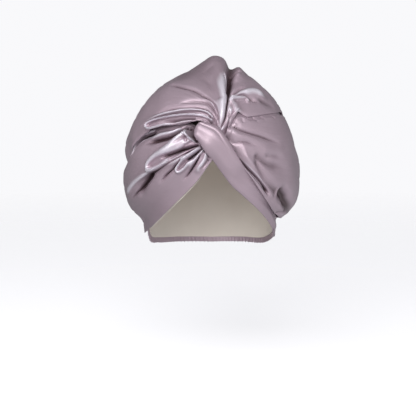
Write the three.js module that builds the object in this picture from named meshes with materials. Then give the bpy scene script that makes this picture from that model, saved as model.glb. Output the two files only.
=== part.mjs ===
// A satin sleep bonnet: a full, gathered turban with a twist over the forehead.
// Millimetres, +Z up, the front towards -Y. The origin is the centre of the head opening, level with
// the side hems, which is where a head carries it.
//
// Every point lies on a ray from the heart of the bonnet, given by an azimuth (0 front, 90 the wearer's
// left, which is +X, 180 back) and an elevation, both in degrees. A panel of cloth is a grid: u runs
// along its folds, from the twist to its far end, and v runs across them, from 0 to 1.
import * as THREE from 'three';

// ---------------------------------------------------------------- driving dimensions
const HEART = new THREE.Vector3(0, 0, 85);   // height of the forehead twist above the side hems

const BAG = { side: 108, front: 112, back: 128, up: 108, down: 150 };   // half axes of the puffed bag
const HEAD = { side: 77, front: 98, back: 98, up: 70, nape: 0.36 };     // half axes of the opening
// nape: how much the back half axis shortens for each degree below the heart

const WALL = 2;          // two plies of satin with their seam allowances
const STRAP_WALL = 1.5;  // the twist's loop, folded double
const NAPE_WALL = 1.5;
const LINING_WALL = 1.2;
const CLEARANCE = 0.7;   // between cloths that lie against each other
const HEM_REACH = 48;    // height over which the bag draws in to the hem
const HEM_LIFT = { front: 2.2, back: 8.3 };  // outer face of the hem above the opening's half axes
const LAP_TUCK = { left: 7, right: 4, back: 4.2 };   // how deep a band lies under the crown's edge

// Swells and dents of the stuffed bag: direction, height and spread in degrees.
const SWELLS = [
  { name: 'peak', az: 50, el: 83, height: 11, spread: 15 },
  { name: 'left pouch', az: -90, el: -20, height: 2.5, spread: 20 },
  { name: 'right pouch', az: 90, el: -22, height: 3, spread: 20 },
  { name: 'flat over right seam', az: 90, el: 24, height: -6, spread: 18 },
  { name: 'left shoulder', az: -90, el: 30, height: -4, spread: 16 },
  { name: 'right shoulder', az: 100, el: 50, height: -2, spread: 12 },
];

// Lower edge of the bands, all round: elevation at each azimuth.
const HEM_LINE = [
  { az: -180, el: -47 }, { az: -150, el: -47.5 }, { az: -118, el: -48 }, { az: -86, el: -49 },
  { az: -62, el: -44.5 }, { az: -44, el: -37.5 }, { az: -30, el: -29.4 }, { az: -19, el: -21 },
  { az: -9, el: -11 }, { az: -1.5, el: -0.8 }, { az: 4, el: 2 }, { az: 30, el: -20 },
  { az: 62, el: -44 }, { az: 90, el: -48 }, { az: 118, el: -48 }, { az: 150, el: -47.5 },
  { az: 180, el: -47 },
];

// Edge of the whole opening: the left hem, the strap's hem on the right, the elastic at the nape.
const OPENING_LINE = [
  { az: -180, el: -56 }, { az: -150, el: -55.6 }, { az: -120, el: -55 }, { az: -104, el: -54 },
  { az: -94, el: -51.5 }, { az: -86, el: -49 }, { az: -62, el: -44.5 }, { az: -44, el: -37.5 },
  { az: -30, el: -29.4 }, { az: -19, el: -21 }, { az: -9, el: -11 }, { az: -1.5, el: -0.8 },
  { az: 1, el: 1.5 }, { az: 7.6, el: -6.9 }, { az: 14.4, el: -15.3 }, { az: 24.2, el: -23.2 },
  { az: 40, el: -33.6 }, { az: 61, el: -44 }, { az: 76, el: -49 }, { az: 96, el: -52 },
  { az: 120, el: -55 }, { az: 150, el: -55.6 }, { az: 180, el: -56 },
];

// Stations along every gathered panel, as shares of its length from the twist to the nape.
const STATIONS = { start: 0, turn: 0.035, sweep: 0.12, shoulder: 0.27, side: 0.5, back: 0.75, nape: 1 };

// Guides: one line of the cloth per row, [azimuth, elevation] at each station. The cloth sinks under the
// twist by depth mm over the share dive of its length. columns is the number of grid columns up to v.
const CROWN_GUIDES = [
  { name: 'left edge', v: 0, columns: 0, dive: 0.035, depth: 10, start: [-1, 21.5], turn: [-5, 26],
    sweep: [-20.5, 24.5], shoulder: [-42, 19], side: [-90, -6], back: [-122, -26], nape: [-150, -47] },
  { name: 'left fan', v: 0.14, columns: 9, dive: 0.035, depth: 10, start: [2.5, 20.5], turn: [-1.5, 29],
    sweep: [-19, 35.5], shoulder: [-45.5, 31.5], side: [-90, 16], back: [-135, 0], nape: [-157, -47] },
  { name: 'left crown', v: 0.28, columns: 4, dive: 0.03, depth: 10, start: [4, 20], turn: [2.5, 32],
    sweep: [-7, 44.5], shoulder: [-55, 56], side: [-95, 50], back: [-148, 28], nape: [-165, -47] },
  { name: 'peak', v: 0.42, columns: 3, dive: 0.03, depth: 10, start: [4.5, 20], turn: [5, 32],
    sweep: [1, 52.5], shoulder: [-25.5, 74], side: [-150, 72], back: [-168, 35], nape: [-173, -47] },
  { name: 'groove', v: 0.55, columns: 4, dive: 0.04, depth: 8, start: [5.5, 20.5], turn: [10.5, 32],
    sweep: [17, 48.5], shoulder: [33, 67.5], side: [180, 82], back: [179, 35], nape: [180, -47] },
  { name: 'right crown', v: 0.7, columns: 5, dive: 0.04, depth: 7, start: [7.5, 20], turn: [14.5, 34],
    sweep: [32, 47.5], shoulder: [58, 55], side: [98, 60], back: [150, 30], nape: [165, -47] },
  { name: 'right fan', v: 0.85, columns: 4, dive: 0.04, depth: 7, start: [9, 21], turn: [18, 32.5],
    sweep: [38, 41], shoulder: [60, 40.5], side: [95, 40], back: [135, 10], nape: [157, -47] },
  { name: 'right seam', v: 1, columns: 4, dive: 0.03, depth: 7, start: [10.5, 22], turn: [15, 27],
    sweep: [28, 29], shoulder: [51, 31.5], side: [92, 29], back: [122, -2], nape: [150, -47] },
];

const LEFT_BAND_GUIDES = [
  { name: 'under the crown', v: 0, columns: 0, dive: 0.09, depth: 10, start: [-6, 22], turn: [-13, 27],
    sweep: [-24, 27], shoulder: [-45, 21.5], side: [-90, -1], back: [-122, -21], nape: [-149, -43] },
  { name: 'upper fan', v: 0.33, columns: 7, dive: 0.07, depth: 10, start: [-4.5, 16],
    turn: [-10.5, 15], sweep: [-19.5, 11.5], shoulder: [-39, 3.5], side: [-88, -12], back: [-120, -29],
    nape: [-149, -44.5] },
  { name: 'lower fan', v: 0.66, columns: 8, dive: 0.035, depth: 7, start: [-2, 10.5],
    turn: [-7.5, 8.5], sweep: [-14.5, 2], shoulder: [-33, -11.5], side: [-84, -27], back: [-118, -38],
    nape: [-149, -46] },
  { name: 'hem', v: 1, columns: 6, dive: 0.02, depth: 0, start: [4, 7], turn: [-1.5, -0.8],
    sweep: [-9, -11], shoulder: [-30, -29.4], side: [-86, -49], back: [-118, -48], nape: [-149, -47.5] },
];

const RIGHT_BAND_GUIDES = [
  { name: 'under the seam', v: 0, columns: 0, dive: 0.04, depth: 12, start: [10.5, 23.5],
    turn: [15, 28], sweep: [28.5, 30.5], shoulder: [54.5, 33.5], side: [92, 31], back: [123, 0],
    nape: [150, -43] },
  { name: 'upper fold', v: 0.33, columns: 6, dive: 0.04, depth: 10, start: [9.5, 20],
    turn: [18.5, 19], sweep: [31, 16], shoulder: [47.5, 11.5], side: [91, 10], back: [122, -15],
    nape: [150, -44.5] },
  { name: 'lower fold', v: 0.66, columns: 6, dive: 0.05, depth: 9, start: [10, 16.5],
    turn: [18, 10.5], sweep: [29, 4], shoulder: [45, -5.5], side: [89, -12], back: [120, -28],
    nape: [150, -46] },
  { name: 'lip over the strap', v: 1, columns: 8, dive: 0.09, depth: 9, start: [9, 13],
    turn: [17.8, 3], sweep: [30.5, -9.8], shoulder: [49, -29.5], side: [86, -42], back: [118, -47],
    nape: [150, -47.5] },
];

// Sections of the twist's strap, from the loop at the knot to its far end beside the ear: its lower and
// upper edge as [azimuth, elevation, distance from the heart], and how high it domes between them.
const STRAP_SECTIONS = [
  { name: 'loop', low: [-9, 15.5, 112], high: [-4.6, 24, 112], dome: 6 },
  { name: 'knot', low: [-4, 8.1, 111], high: [5, 20.5, 113], dome: 7 },
  { name: 'apex', low: [1, 2.2, 105], high: [11, 13, 113], dome: 6 },
  { name: 'brow', low: [7.6, -6.9, 102], high: [18, 2, 110.5], dome: 4.5 },
  { name: 'temple', low: [14.4, -15.3, 102], high: [24, -4, 105], dome: 3.5 },
  { name: 'slit', low: [24.2, -23.2, 103], high: [33, -11.5, 105], dome: 3 },
  { name: 'cheek', low: [40, -33.6, 107], high: [45, -22.5, 104], dome: 2.5 },
  { name: 'ear', low: [61, -44, 113], high: [58, -34, 105], dome: 2 },
  { name: 'behind', low: [78, -49.5, 122], high: [77, -42.5, 110], dome: 1.5 },
  { name: 'end', low: [95.4, -52, 127.5], high: [95.4, -43, 108], dome: 1 },
];
const LOOP_TURNS = [130, 105, 80, 55, 28];   // degrees the cloth rolls through round the loop's end
const STRAP_CURL = 104;                      // half angle of the strap's rolled section, in degrees

// Main folds, a row each: a line over the cloth as [azimuth, elevation] points from its root at the
// twist, its half width in mm at the root and at the tip, its height in mm (negative for a valley), and
// the share of its length over which it dies out at the tip. kind: a ridge is round, a tongue is puffed
// with a flatter top, a crease is a narrow valley.
const CROWN_FOLDS = [
  { name: 'lowest roll', path: [[1, 23], [-4.5, 26.5], [-12.5, 27.5], [-23.5, 25.5], [-46, 21]],
    root: 3, tip: 5, height: 5, fade: 0.2, kind: 'ridge' },
  { name: 'second roll', path: [[3, 22.5], [1, 25.5], [-3, 28.5], [-13, 30.5], [-25.5, 30], [-51, 24]],
    root: 3, tip: 5, height: 4, fade: 0.3, kind: 'ridge' },
  { name: 'third roll', path: [[4, 23.5], [0, 28.5], [-5, 31.5], [-13.5, 33.5], [-44.5, 29.5]],
    root: 2.5, tip: 6, height: 3.5, fade: 0.5, kind: 'ridge' },
  { name: 'upper crease', path: [[4.5, 24.5], [3.5, 30.5], [-2, 39], [-8.5, 41], [-27.5, 37.5]],
    root: 2.5, tip: 4, height: -3.5, fade: 0.5, kind: 'crease' },
  { name: 'roll beside the groove', path: [[7, 23.5], [9, 29.5], [10.5, 36.5], [13.5, 53.5], [16.5, 63]],
    root: 4, tip: 8, height: 6.5, fade: 0.4, kind: 'ridge' },
  { name: 'central groove', path: [[5.5, 21], [8.5, 26.5], [11.5, 33], [17.5, 50.5], [41.5, 71], [95, 77]],
    root: 4, tip: 6, height: -13, fade: 0.3, kind: 'crease' },
  { name: 'rolled right edge', path: [[10.5, 24.5], [13.5, 30], [15, 36.5], [16.5, 41]],
    root: 3, tip: 3, height: 4, fade: 0.2, kind: 'ridge' },
  { name: 'horn', path: [[15.5, 41.5], [23, 45.5], [37, 50], [50, 50.5], [56, 46]],
    root: 3.5, tip: 7, height: 6, fade: 0.1, kind: 'ridge' },
  { name: 'peak', path: [[-14, 77], [22.5, 79.5], [70, 85]],
    root: 14, tip: 11, height: 6, fade: 0, kind: 'ridge' },
  { name: 'small bump', path: [[48, 68], [100, 70]],
    root: 7, tip: 7, height: 6, fade: 0, kind: 'ridge' },
];

const LEFT_BAND_FOLDS = [
  { name: 'hollow under the crown', path: [[-14, 22], [-23, 18], [-34, 14], [-48, 7.5]],
    root: 6, tip: 9, height: -4.5, fade: 0.4, kind: 'ridge' },
  { name: 'large tongue', path: [[-9.5, 12.5], [-17, 11], [-25, 6.5], [-34.5, 0], [-40, -3.5]],
    root: 5, tip: 9, height: 6, fade: 0.1, kind: 'tongue' },
  { name: 'long pleat', path: [[-8.5, 11], [-15.5, 7], [-26.5, 0.5], [-50.5, -12], [-78.5, -26.5]],
    root: 2.5, tip: 5, height: -5.5, fade: 0.4, kind: 'crease' },
  { name: 'pleat ridge', path: [[-8, 10], [-14.5, 5.5], [-25.5, -1.5], [-49.5, -14.5], [-79.5, -29]],
    root: 3, tip: 7, height: 4, fade: 0.4, kind: 'ridge' },
  { name: 'second tongue', path: [[-5, 9], [-12, 3.5], [-18.5, -1]],
    root: 3, tip: 5, height: 4.5, fade: 0.2, kind: 'tongue' },
  { name: 'third tongue', path: [[-3, 6.5], [-8, 0], [-12.5, -6]],
    root: 3, tip: 5, height: 3, fade: 0.2, kind: 'tongue' },
];

const RIGHT_BAND_FOLDS = [
  { name: 'upper roll', path: [[14, 25.5], [21.5, 25.5], [30.5, 22.5], [38.5, 19.5]],
    root: 3, tip: 7, height: 2.5, fade: 0.5, kind: 'ridge' },
  { name: 'upper valley', path: [[12, 23], [20.5, 21], [29.5, 18], [39, 16], [52, 12]],
    root: 3, tip: 6, height: -5, fade: 0.5, kind: 'ridge' },
  { name: 'middle roll', path: [[10, 21.5], [17, 18], [25, 15.5], [33.5, 13], [44, 10]],
    root: 3, tip: 7, height: 4, fade: 0.5, kind: 'ridge' },
  { name: 'middle valley', path: [[13, 15], [18, 13], [24, 12.5], [30, 11.5], [37.5, 7]],
    root: 3, tip: 5, height: -4, fade: 0.5, kind: 'ridge' },
  { name: 'lower roll', path: [[15, 10.5], [23, 8.5], [31, 5], [40.5, 0.5]],
    root: 5, tip: 9, height: 4, fade: 0.5, kind: 'ridge' },
  { name: 'roll along the lip', path: [[20, 3.5], [27.5, -2.5], [35.5, -11.5], [42, -20]],
    root: 4, tip: 6, height: 3.5, fade: 0.1, kind: 'ridge' },
  { name: 'dimple over the ear', path: [[50, -18.5], [57, -24], [71.5, -30]],
    root: 8, tip: 9, height: -10, fade: 0.2, kind: 'ridge' },
];

const GATHERS = { count: 9, height: 3, reach: 0.22 };    // puckers where the bag meets the nape elastic
const SHIRRING = { count: 22, height: 0.8 };             // ripples along the nape elastic
const RIM_ROLL = { depth: 7, width: 13 };                // the bag's free rim turning in over the ear

const SATIN = new THREE.MeshStandardMaterial({ color: 0x9e8d98, roughness: 0.34, metalness: 0 });
const LINING_SATIN = new THREE.MeshStandardMaterial({ color: 0xcfc3bd, roughness: 0.45, metalness: 0 });

// ---------------------------------------------------------------- small helpers
const toRadians = THREE.MathUtils.degToRad;
const toDegrees = THREE.MathUtils.radToDeg;
const clamp = THREE.MathUtils.clamp;
const mix = THREE.MathUtils.lerp;

function ease(t) {
  const s = clamp(t, 0, 1);
  return s * s * (3 - 2 * s);
}

function direction(az, el) {
  const a = toRadians(az);
  const e = toRadians(el);
  return new THREE.Vector3(Math.sin(a) * Math.cos(e), -Math.cos(a) * Math.cos(e), Math.sin(e));
}

function azimuthOf(d) {
  return toDegrees(Math.atan2(d.x, -d.y));
}

function elevationOf(d) {
  return toDegrees(Math.asin(clamp(d.z, -1, 1)));
}

function pointAt(d, radius) {
  return d.clone().multiplyScalar(radius).add(HEART);
}

// A smooth cubic through values at rising knots; combine(a, b, t) mixes two values.
function smoothThrough(knots, values, t) {
  const last = knots.length - 1;
  let i = 0;
  while (i < last - 1 && t >= knots[i + 1]) i += 1;
  const slope = (k) => {
    const before = Math.max(k - 1, 0);
    const after = Math.min(k + 1, last);
    if (before === k || after === k) return (values[after] - values[before]) / (knots[after] - knots[before]);
    const left = (values[k] - values[before]) / (knots[k] - knots[before]);
    const right = (values[after] - values[k]) / (knots[after] - knots[k]);
    const a = knots[k] - knots[before];
    const b = knots[after] - knots[k];
    return (left * b + right * a) / (a + b);
  };
  const h = knots[i + 1] - knots[i];
  const s = (t - knots[i]) / h;
  return (1 + 2 * s) * (1 - s) ** 2 * values[i] + s * (1 - s) ** 2 * h * slope(i)
    + s * s * (3 - 2 * s) * values[i + 1] + s * s * (s - 1) * h * slope(i + 1);
}

function lineAt(line, az) {
  return smoothThrough(line.map((row) => row.az), line.map((row) => row.el), az);
}

// ---------------------------------------------------------------- the two forms the cloth lies between
function bagRadius(d) {
  const deep = d.y < 0 ? BAG.front : BAG.back;
  const tall = d.z > 0 ? BAG.up : BAG.down;
  let radius = 1 / Math.hypot(d.x / BAG.side, d.y / deep, d.z / tall);
  for (const swell of SWELLS) {
    const away = toDegrees(Math.acos(clamp(d.dot(direction(swell.az, swell.el)), -1, 1)));
    radius += swell.height * Math.exp(-((away / swell.spread) ** 2));
  }
  return radius;
}

function headRadius(d) {
  const below = Math.max(0, -elevationOf(d));
  const deep = d.y < 0 ? HEAD.front : HEAD.back - HEAD.nape * below;
  return 1 / Math.hypot(d.x / HEAD.side, d.y / deep, Math.max(0, d.z) / HEAD.up);
}

// The outer face of the cloth without its folds: the bag, drawn in to the head above the hem. On the
// wearer's left front the strap takes the hem's place, and the bag hangs free over it.
function clothLevel(d) {
  const az = azimuthOf(d);
  const bag = bagRadius(d);
  const mmPerDegree = toRadians(bag);
  const height = (elevationOf(d) - lineAt(HEM_LINE, az)) * mmPerDegree;
  const free = ease((az + 2) / 14) * (1 - ease((az - 70) / 48));
  const pull = (1 - free) * ease(1 - height / HEM_REACH);
  const lift = mix(HEM_LIFT.front, HEM_LIFT.back, ease((Math.abs(az) - 75) / 20));
  return mix(bag, headRadius(d) + lift, pull);
}

// ---------------------------------------------------------------- panels of gathered cloth
function guideDirection(guides, u, v) {
  const names = Object.keys(STATIONS);
  const knots = Object.values(STATIONS);
  const rows = guides.map((guide) => {
    const points = names.map((name) => direction(...guide[name]));
    return ['x', 'y', 'z'].map((axis) => smoothThrough(knots, points.map((p) => p[axis]), u));
  });
  const across = guides.map((guide) => guide.v);
  const [x, y, z] = [0, 1, 2].map((k) => smoothThrough(across, rows.map((row) => row[k]), v));
  return new THREE.Vector3(x, y, z).normalize();
}

// A fold as a function of a point on the cloth: its crest is a smooth line through the row's path.
function makeFold({ path, root, tip, height, fade, kind }) {
  const directions = path.map(([az, el]) => direction(az, el));
  const stepsPerSpan = 6;
  const steps = stepsPerSpan * (path.length - 1);
  const knots = path.map((_, k) => k);
  const crest = [];
  for (let k = 0; k <= steps; k += 1) {
    const d = new THREE.Vector3(...['x', 'y', 'z'].map((axis) =>
      smoothThrough(knots, directions.map((p) => p[axis]), k / stepsPerSpan))).normalize();
    crest.push(pointAt(d, clothLevel(d)));
  }
  return (point) => {
    let nearest = Infinity;
    let along = 0;
    for (let k = 0; k < steps; k += 1) {
      const span = crest[k + 1].clone().sub(crest[k]);
      const offset = point.clone().sub(crest[k]);
      const t = clamp(offset.dot(span) / span.lengthSq(), 0, 1);
      const distance = offset.addScaledVector(span, -t).length();
      if (distance < nearest) {
        nearest = distance;
        along = (k + t) / steps;
      }
    }
    const s = nearest / mix(root, tip, along);
    const profiles = { ridge: Math.exp(-s * s), tongue: Math.exp(-(s ** 4)), crease: Math.exp(-1.6 * s) };
    return height * profiles[kind] * (fade ? ease((1 - along) / fade) : 1);
  };
}

// The panel's width across v at u, in mm.
function widthAt(guides, u) {
  const steps = 8;
  let width = 0;
  for (let k = 0; k < steps; k += 1) {
    const a = guideDirection(guides, u, k / steps);
    const b = guideDirection(guides, u, (k + 1) / steps);
    width += pointAt(a, clothLevel(a)).distanceTo(pointAt(b, clothLevel(b)));
  }
  return width;
}

function columnPlaces(guides) {
  const places = [0];
  for (let k = 1; k < guides.length; k += 1) {
    for (let n = 1; n <= guides[k].columns; n += 1) {
      places.push(mix(guides[k - 1].v, guides[k].v, n / guides[k].columns));
    }
  }
  return places;
}

// shape(u, v, width) gives the panel's own rise over the cloth level, before its folds.
function panel({ guides, folds, alongSteps, shape }) {
  const reliefs = folds.map(makeFold);
  const across = guides.map((guide) => guide.v);
  const outer = [];
  const inner = [];
  for (let i = 0; i <= alongSteps; i += 1) {
    const u = (i / alongSteps) ** 1.5;
    const width = widthAt(guides, u);
    const outerRow = [];
    const innerRow = [];
    for (const v of columnPlaces(guides)) {
      const d = guideDirection(guides, u, v);
      const level = clothLevel(d);
      const risen = ease(u / smoothThrough(across, guides.map((guide) => guide.dive), v));
      const depth = smoothThrough(across, guides.map((guide) => guide.depth), v);
      const point = pointAt(d, level);
      const relief = reliefs.reduce((sum, fold) => sum + fold(point), 0);
      const radius = level - depth * (1 - risen) + relief * risen + shape(u, v, width);
      outerRow.push(pointAt(d, radius));
      innerRow.push(pointAt(d, radius - WALL));
    }
    outer.push(outerRow);
    inner.push(innerRow);
  }
  return shell(outer, inner);
}

// A closed wall between two grids of points of the same size.
function shell(outer, inner) {
  const rows = outer.length;
  const columns = outer[0].length;
  const positions = [];
  for (const grid of [outer, inner]) {
    for (const row of grid) for (const p of row) positions.push(p.x, p.y, p.z);
  }
  const at = (side, i, j) => side * rows * columns + i * columns + j;
  const faces = [];
  const quad = (a, b, c, d) => faces.push(a, b, c, a, c, d);
  const bottom = rows - 1;
  const end = columns - 1;
  for (let i = 0; i < bottom; i += 1) {
    for (let j = 0; j < end; j += 1) {
      quad(at(0, i, j), at(0, i + 1, j), at(0, i + 1, j + 1), at(0, i, j + 1));
      quad(at(1, i, j), at(1, i, j + 1), at(1, i + 1, j + 1), at(1, i + 1, j));
    }
  }
  for (let j = 0; j < end; j += 1) {
    quad(at(0, 0, j), at(0, 0, j + 1), at(1, 0, j + 1), at(1, 0, j));
    quad(at(0, bottom, j + 1), at(0, bottom, j), at(1, bottom, j), at(1, bottom, j + 1));
  }
  for (let i = 0; i < bottom; i += 1) {
    quad(at(0, i + 1, 0), at(0, i, 0), at(1, i, 0), at(1, i + 1, 0));
    quad(at(0, i, end), at(0, i + 1, end), at(1, i + 1, end), at(1, i, end));
  }
  return solid(positions, faces);
}

// Turns the faces the right way round if they point inwards.
function solid(positions, faces) {
  let volume = 0;
  const p = (k) => new THREE.Vector3(...positions.slice(3 * k, 3 * k + 3));
  for (let k = 0; k < faces.length; k += 3) {
    volume += p(faces[k]).dot(p(faces[k + 1]).cross(p(faces[k + 2])));
  }
  if (volume < 0) faces.reverse();
  const geometry = new THREE.BufferGeometry();
  geometry.setAttribute('position', new THREE.Float32BufferAttribute(positions, 3));
  geometry.setIndex(faces);
  geometry.computeVertexNormals();
  return geometry;
}

// ---------------------------------------------------------------- the pieces
// The bag itself, lapped over both bands, with its cloth pulled into the twist and onto the elastic.
function crown() {
  const edgeRoll = { left: 2, right: 0.8, width: 5 };   // how far, and over what width, its edges turn down
  return panel({
    guides: CROWN_GUIDES,
    folds: CROWN_FOLDS,
    alongSteps: 30,
    shape: (u, v, width) => {
      const fromEdge = Math.min(v, 1 - v) * width;
      const roll = v < 0.5 ? mix(edgeRoll.left, edgeRoll.right, ease((u - 0.45) / 0.2)) : edgeRoll.right;
      const gather = ease((u - 1 + GATHERS.reach) / GATHERS.reach)
        * GATHERS.height * (0.5 - 0.5 * Math.cos(2 * Math.PI * GATHERS.count * v));
      return gather - roll * (1 - ease(fromEdge / edgeRoll.width));
    },
  });
}

// A band's upper margin lies under the crown's edge and rises to the surface below it.
function underCrown(u, v, width, { front, margin, rise }) {
  const tuck = mix(front, LAP_TUCK.back, ease((u - 0.5) / 0.2));
  return -tuck * (1 - ease((v * width - margin) / rise));
}

function leftBand() {
  return panel({
    guides: LEFT_BAND_GUIDES,
    folds: LEFT_BAND_FOLDS,
    alongSteps: 24,
    shape: (u, v, width) => underCrown(u, v, width, { front: LAP_TUCK.left, margin: 9, rise: 14 }),
  });
}

function rightBand() {
  return panel({
    guides: RIGHT_BAND_GUIDES,
    folds: RIGHT_BAND_FOLDS,
    alongSteps: 22,
    shape: (u, v, width) => {
      const rim = RIM_ROLL.depth * ease((u - 0.2) / 0.2) * (1 - ease((u - 0.55) / 0.2));
      const margin = mix(5, 12, ease((u - 0.5) / 0.2));
      return underCrown(u, v, width, { front: LAP_TUCK.right, margin, rise: 7 })
        - rim * (1 - ease((1 - v) * width / RIM_ROLL.width));
    },
  });
}

// The smooth strap that loops over the twist and becomes the hem on the wearer's left.
function twistWrap() {
  const alongSteps = 26;
  const acrossSteps = 10;
  const last = STRAP_SECTIONS.length - 1;
  const knots = STRAP_SECTIONS.map((section, k) => k / last);
  const edgePoint = (edge, u) => {
    const points = STRAP_SECTIONS.map((s) => pointAt(direction(s[edge][0], s[edge][1]), s[edge][2]));
    return new THREE.Vector3(...['x', 'y', 'z'].map((axis) =>
      smoothThrough(knots, points.map((p) => p[axis]), u)));
  };
  const places = LOOP_TURNS.map((turn) => ({ u: 0, turn }));
  for (let i = 0; i <= alongSteps; i += 1) places.push({ u: (i / alongSteps) ** 1.2, turn: 0 });
  const rowsAt = (wall) => places.map(({ u, turn }) => {
    const low = edgePoint('low', u);
    const high = edgePoint('high', u);
    const middle = low.clone().add(high).multiplyScalar(0.5);
    const half = high.clone().sub(low).multiplyScalar(0.5);
    const out = middle.clone().sub(HEART);
    out.addScaledVector(half, -out.dot(half) / half.lengthSq()).normalize();
    const back = out.clone().cross(half).normalize();
    const angle = toRadians(turn);
    const rise = out.clone().multiplyScalar(Math.cos(angle)).addScaledVector(back, Math.sin(angle));
    const dome = smoothThrough(knots, STRAP_SECTIONS.map((s) => s.dome), u);
    const row = [];
    for (let j = 0; j <= acrossSteps; j += 1) {
      const curl = toRadians(mix(-STRAP_CURL, STRAP_CURL, j / acrossSteps));
      const reach = 1 - wall / half.length();
      row.push(middle.clone()
        .addScaledVector(half, Math.sin(curl) * reach)
        .addScaledVector(rise, dome * Math.cos(curl) - wall * Math.max(Math.cos(curl), 0.2)));
    }
    return row;
  });
  return shell(rowsAt(0), rowsAt(STRAP_WALL));
}

// The shirred elastic round the back of the head, under the lower edges of the crown and bands.
function napeBand() {
  const span = { from: 96, to: 272, top: -43 };
  const alongSteps = 2 * SHIRRING.count;
  const acrossSteps = 2;
  const outer = [];
  const inner = [];
  for (let i = 0; i <= alongSteps; i += 1) {
    const round = mix(span.from, span.to, i / alongSteps);
    const az = round > 180 ? round - 360 : round;
    const outerRow = [];
    const innerRow = [];
    for (let j = 0; j <= acrossSteps; j += 1) {
      const d = direction(az, mix(span.top, lineAt(OPENING_LINE, az), j / acrossSteps));
      const ripple = i % 2 ? SHIRRING.height * (j / acrossSteps) : 0;
      outerRow.push(pointAt(d, headRadius(d) + NAPE_WALL + ripple));
      innerRow.push(pointAt(d, headRadius(d) + ripple));
    }
    outer.push(outerRow);
    inner.push(innerRow);
  }
  return shell(outer, inner);
}

// The pale inner cap. Its edge peeps out along the left front hem and stays hidden elsewhere.
function lining() {
  const roundSteps = 28;
  const upSteps = 11;
  const peep = 0.9;    // degrees below the left front hem
  const short = 1.2;   // degrees above the rest of the opening
  const outer = [];
  const inner = [];
  for (let i = 0; i <= upSteps; i += 1) {
    const outerRow = [];
    const innerRow = [];
    for (let j = 0; j < roundSteps; j += 1) {
      const az = -180 + 360 * (j / roundSteps);
      const shows = ease((az + 88) / 14) * (1 - ease((az + 6) / 8));
      const edge = lineAt(OPENING_LINE, az) + mix(short, -peep, shows);
      const d = direction(az, mix(edge, 88, i / upSteps));
      outerRow.push(pointAt(d, headRadius(d) - CLEARANCE));
      innerRow.push(pointAt(d, headRadius(d) - CLEARANCE - LINING_WALL));
    }
    outer.push(outerRow);
    inner.push(innerRow);
  }
  return cap(outer, inner);
}

// A closed ring of cloth whose last row is drawn together at a point, inside and out.
function cap(outer, inner) {
  const columns = outer[0].length;
  const rows = outer.length;
  const positions = [];
  for (const grid of [outer, inner]) {
    for (const row of grid) for (const p of row) positions.push(p.x, p.y, p.z);
  }
  const tips = [outer, inner].map((grid) => {
    const tip = grid[rows - 1].reduce((sum, p) => sum.add(p), new THREE.Vector3()).divideScalar(columns);
    positions.push(tip.x, tip.y, tip.z);
    return positions.length / 3 - 1;
  });
  const at = (side, i, j) => side * rows * columns + i * columns + (j % columns);
  const faces = [];
  const quad = (a, b, c, d) => faces.push(a, b, c, a, c, d);
  for (let j = 0; j < columns; j += 1) {
    for (let i = 0; i < rows - 1; i += 1) {
      quad(at(0, i, j), at(0, i + 1, j), at(0, i + 1, j + 1), at(0, i, j + 1));
      quad(at(1, i, j), at(1, i, j + 1), at(1, i + 1, j + 1), at(1, i + 1, j));
    }
    quad(at(0, 0, j), at(0, 0, j + 1), at(1, 0, j + 1), at(1, 0, j));
    faces.push(at(0, rows - 1, j), tips[0], at(0, rows - 1, j + 1));
    faces.push(at(1, rows - 1, j), at(1, rows - 1, j + 1), tips[1]);
  }
  return solid(positions, faces);
}

// ---------------------------------------------------------------- assembly
const bonnet = new THREE.Group();
const pieces = [
  { name: 'crown', geometry: crown(), material: SATIN },
  { name: 'left_band', geometry: leftBand(), material: SATIN },
  { name: 'right_band', geometry: rightBand(), material: SATIN },
  { name: 'twist_wrap', geometry: twistWrap(), material: SATIN },
  { name: 'nape_band', geometry: napeBand(), material: SATIN },
  { name: 'lining', geometry: lining(), material: LINING_SATIN },
];
for (const { name, geometry, material } of pieces) {
  const mesh = new THREE.Mesh(geometry, material);
  mesh.name = name;
  bonnet.add(mesh);
}

export default bonnet;
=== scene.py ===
# %% [markdown]
# # A satin sleep bonnet
# The bonnet is a full bag of mauve satin. Its cloth is gathered into a twist over the forehead, a smooth
# strap loops over that twist and becomes one side of the hem, an elastic draws the back in at the nape,
# and a pale cap lines it. The CAD frame holds plain solids in the right places. This lesson makes the
# real cloth around them, piece by piece, and gives it a satin finish.

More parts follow.
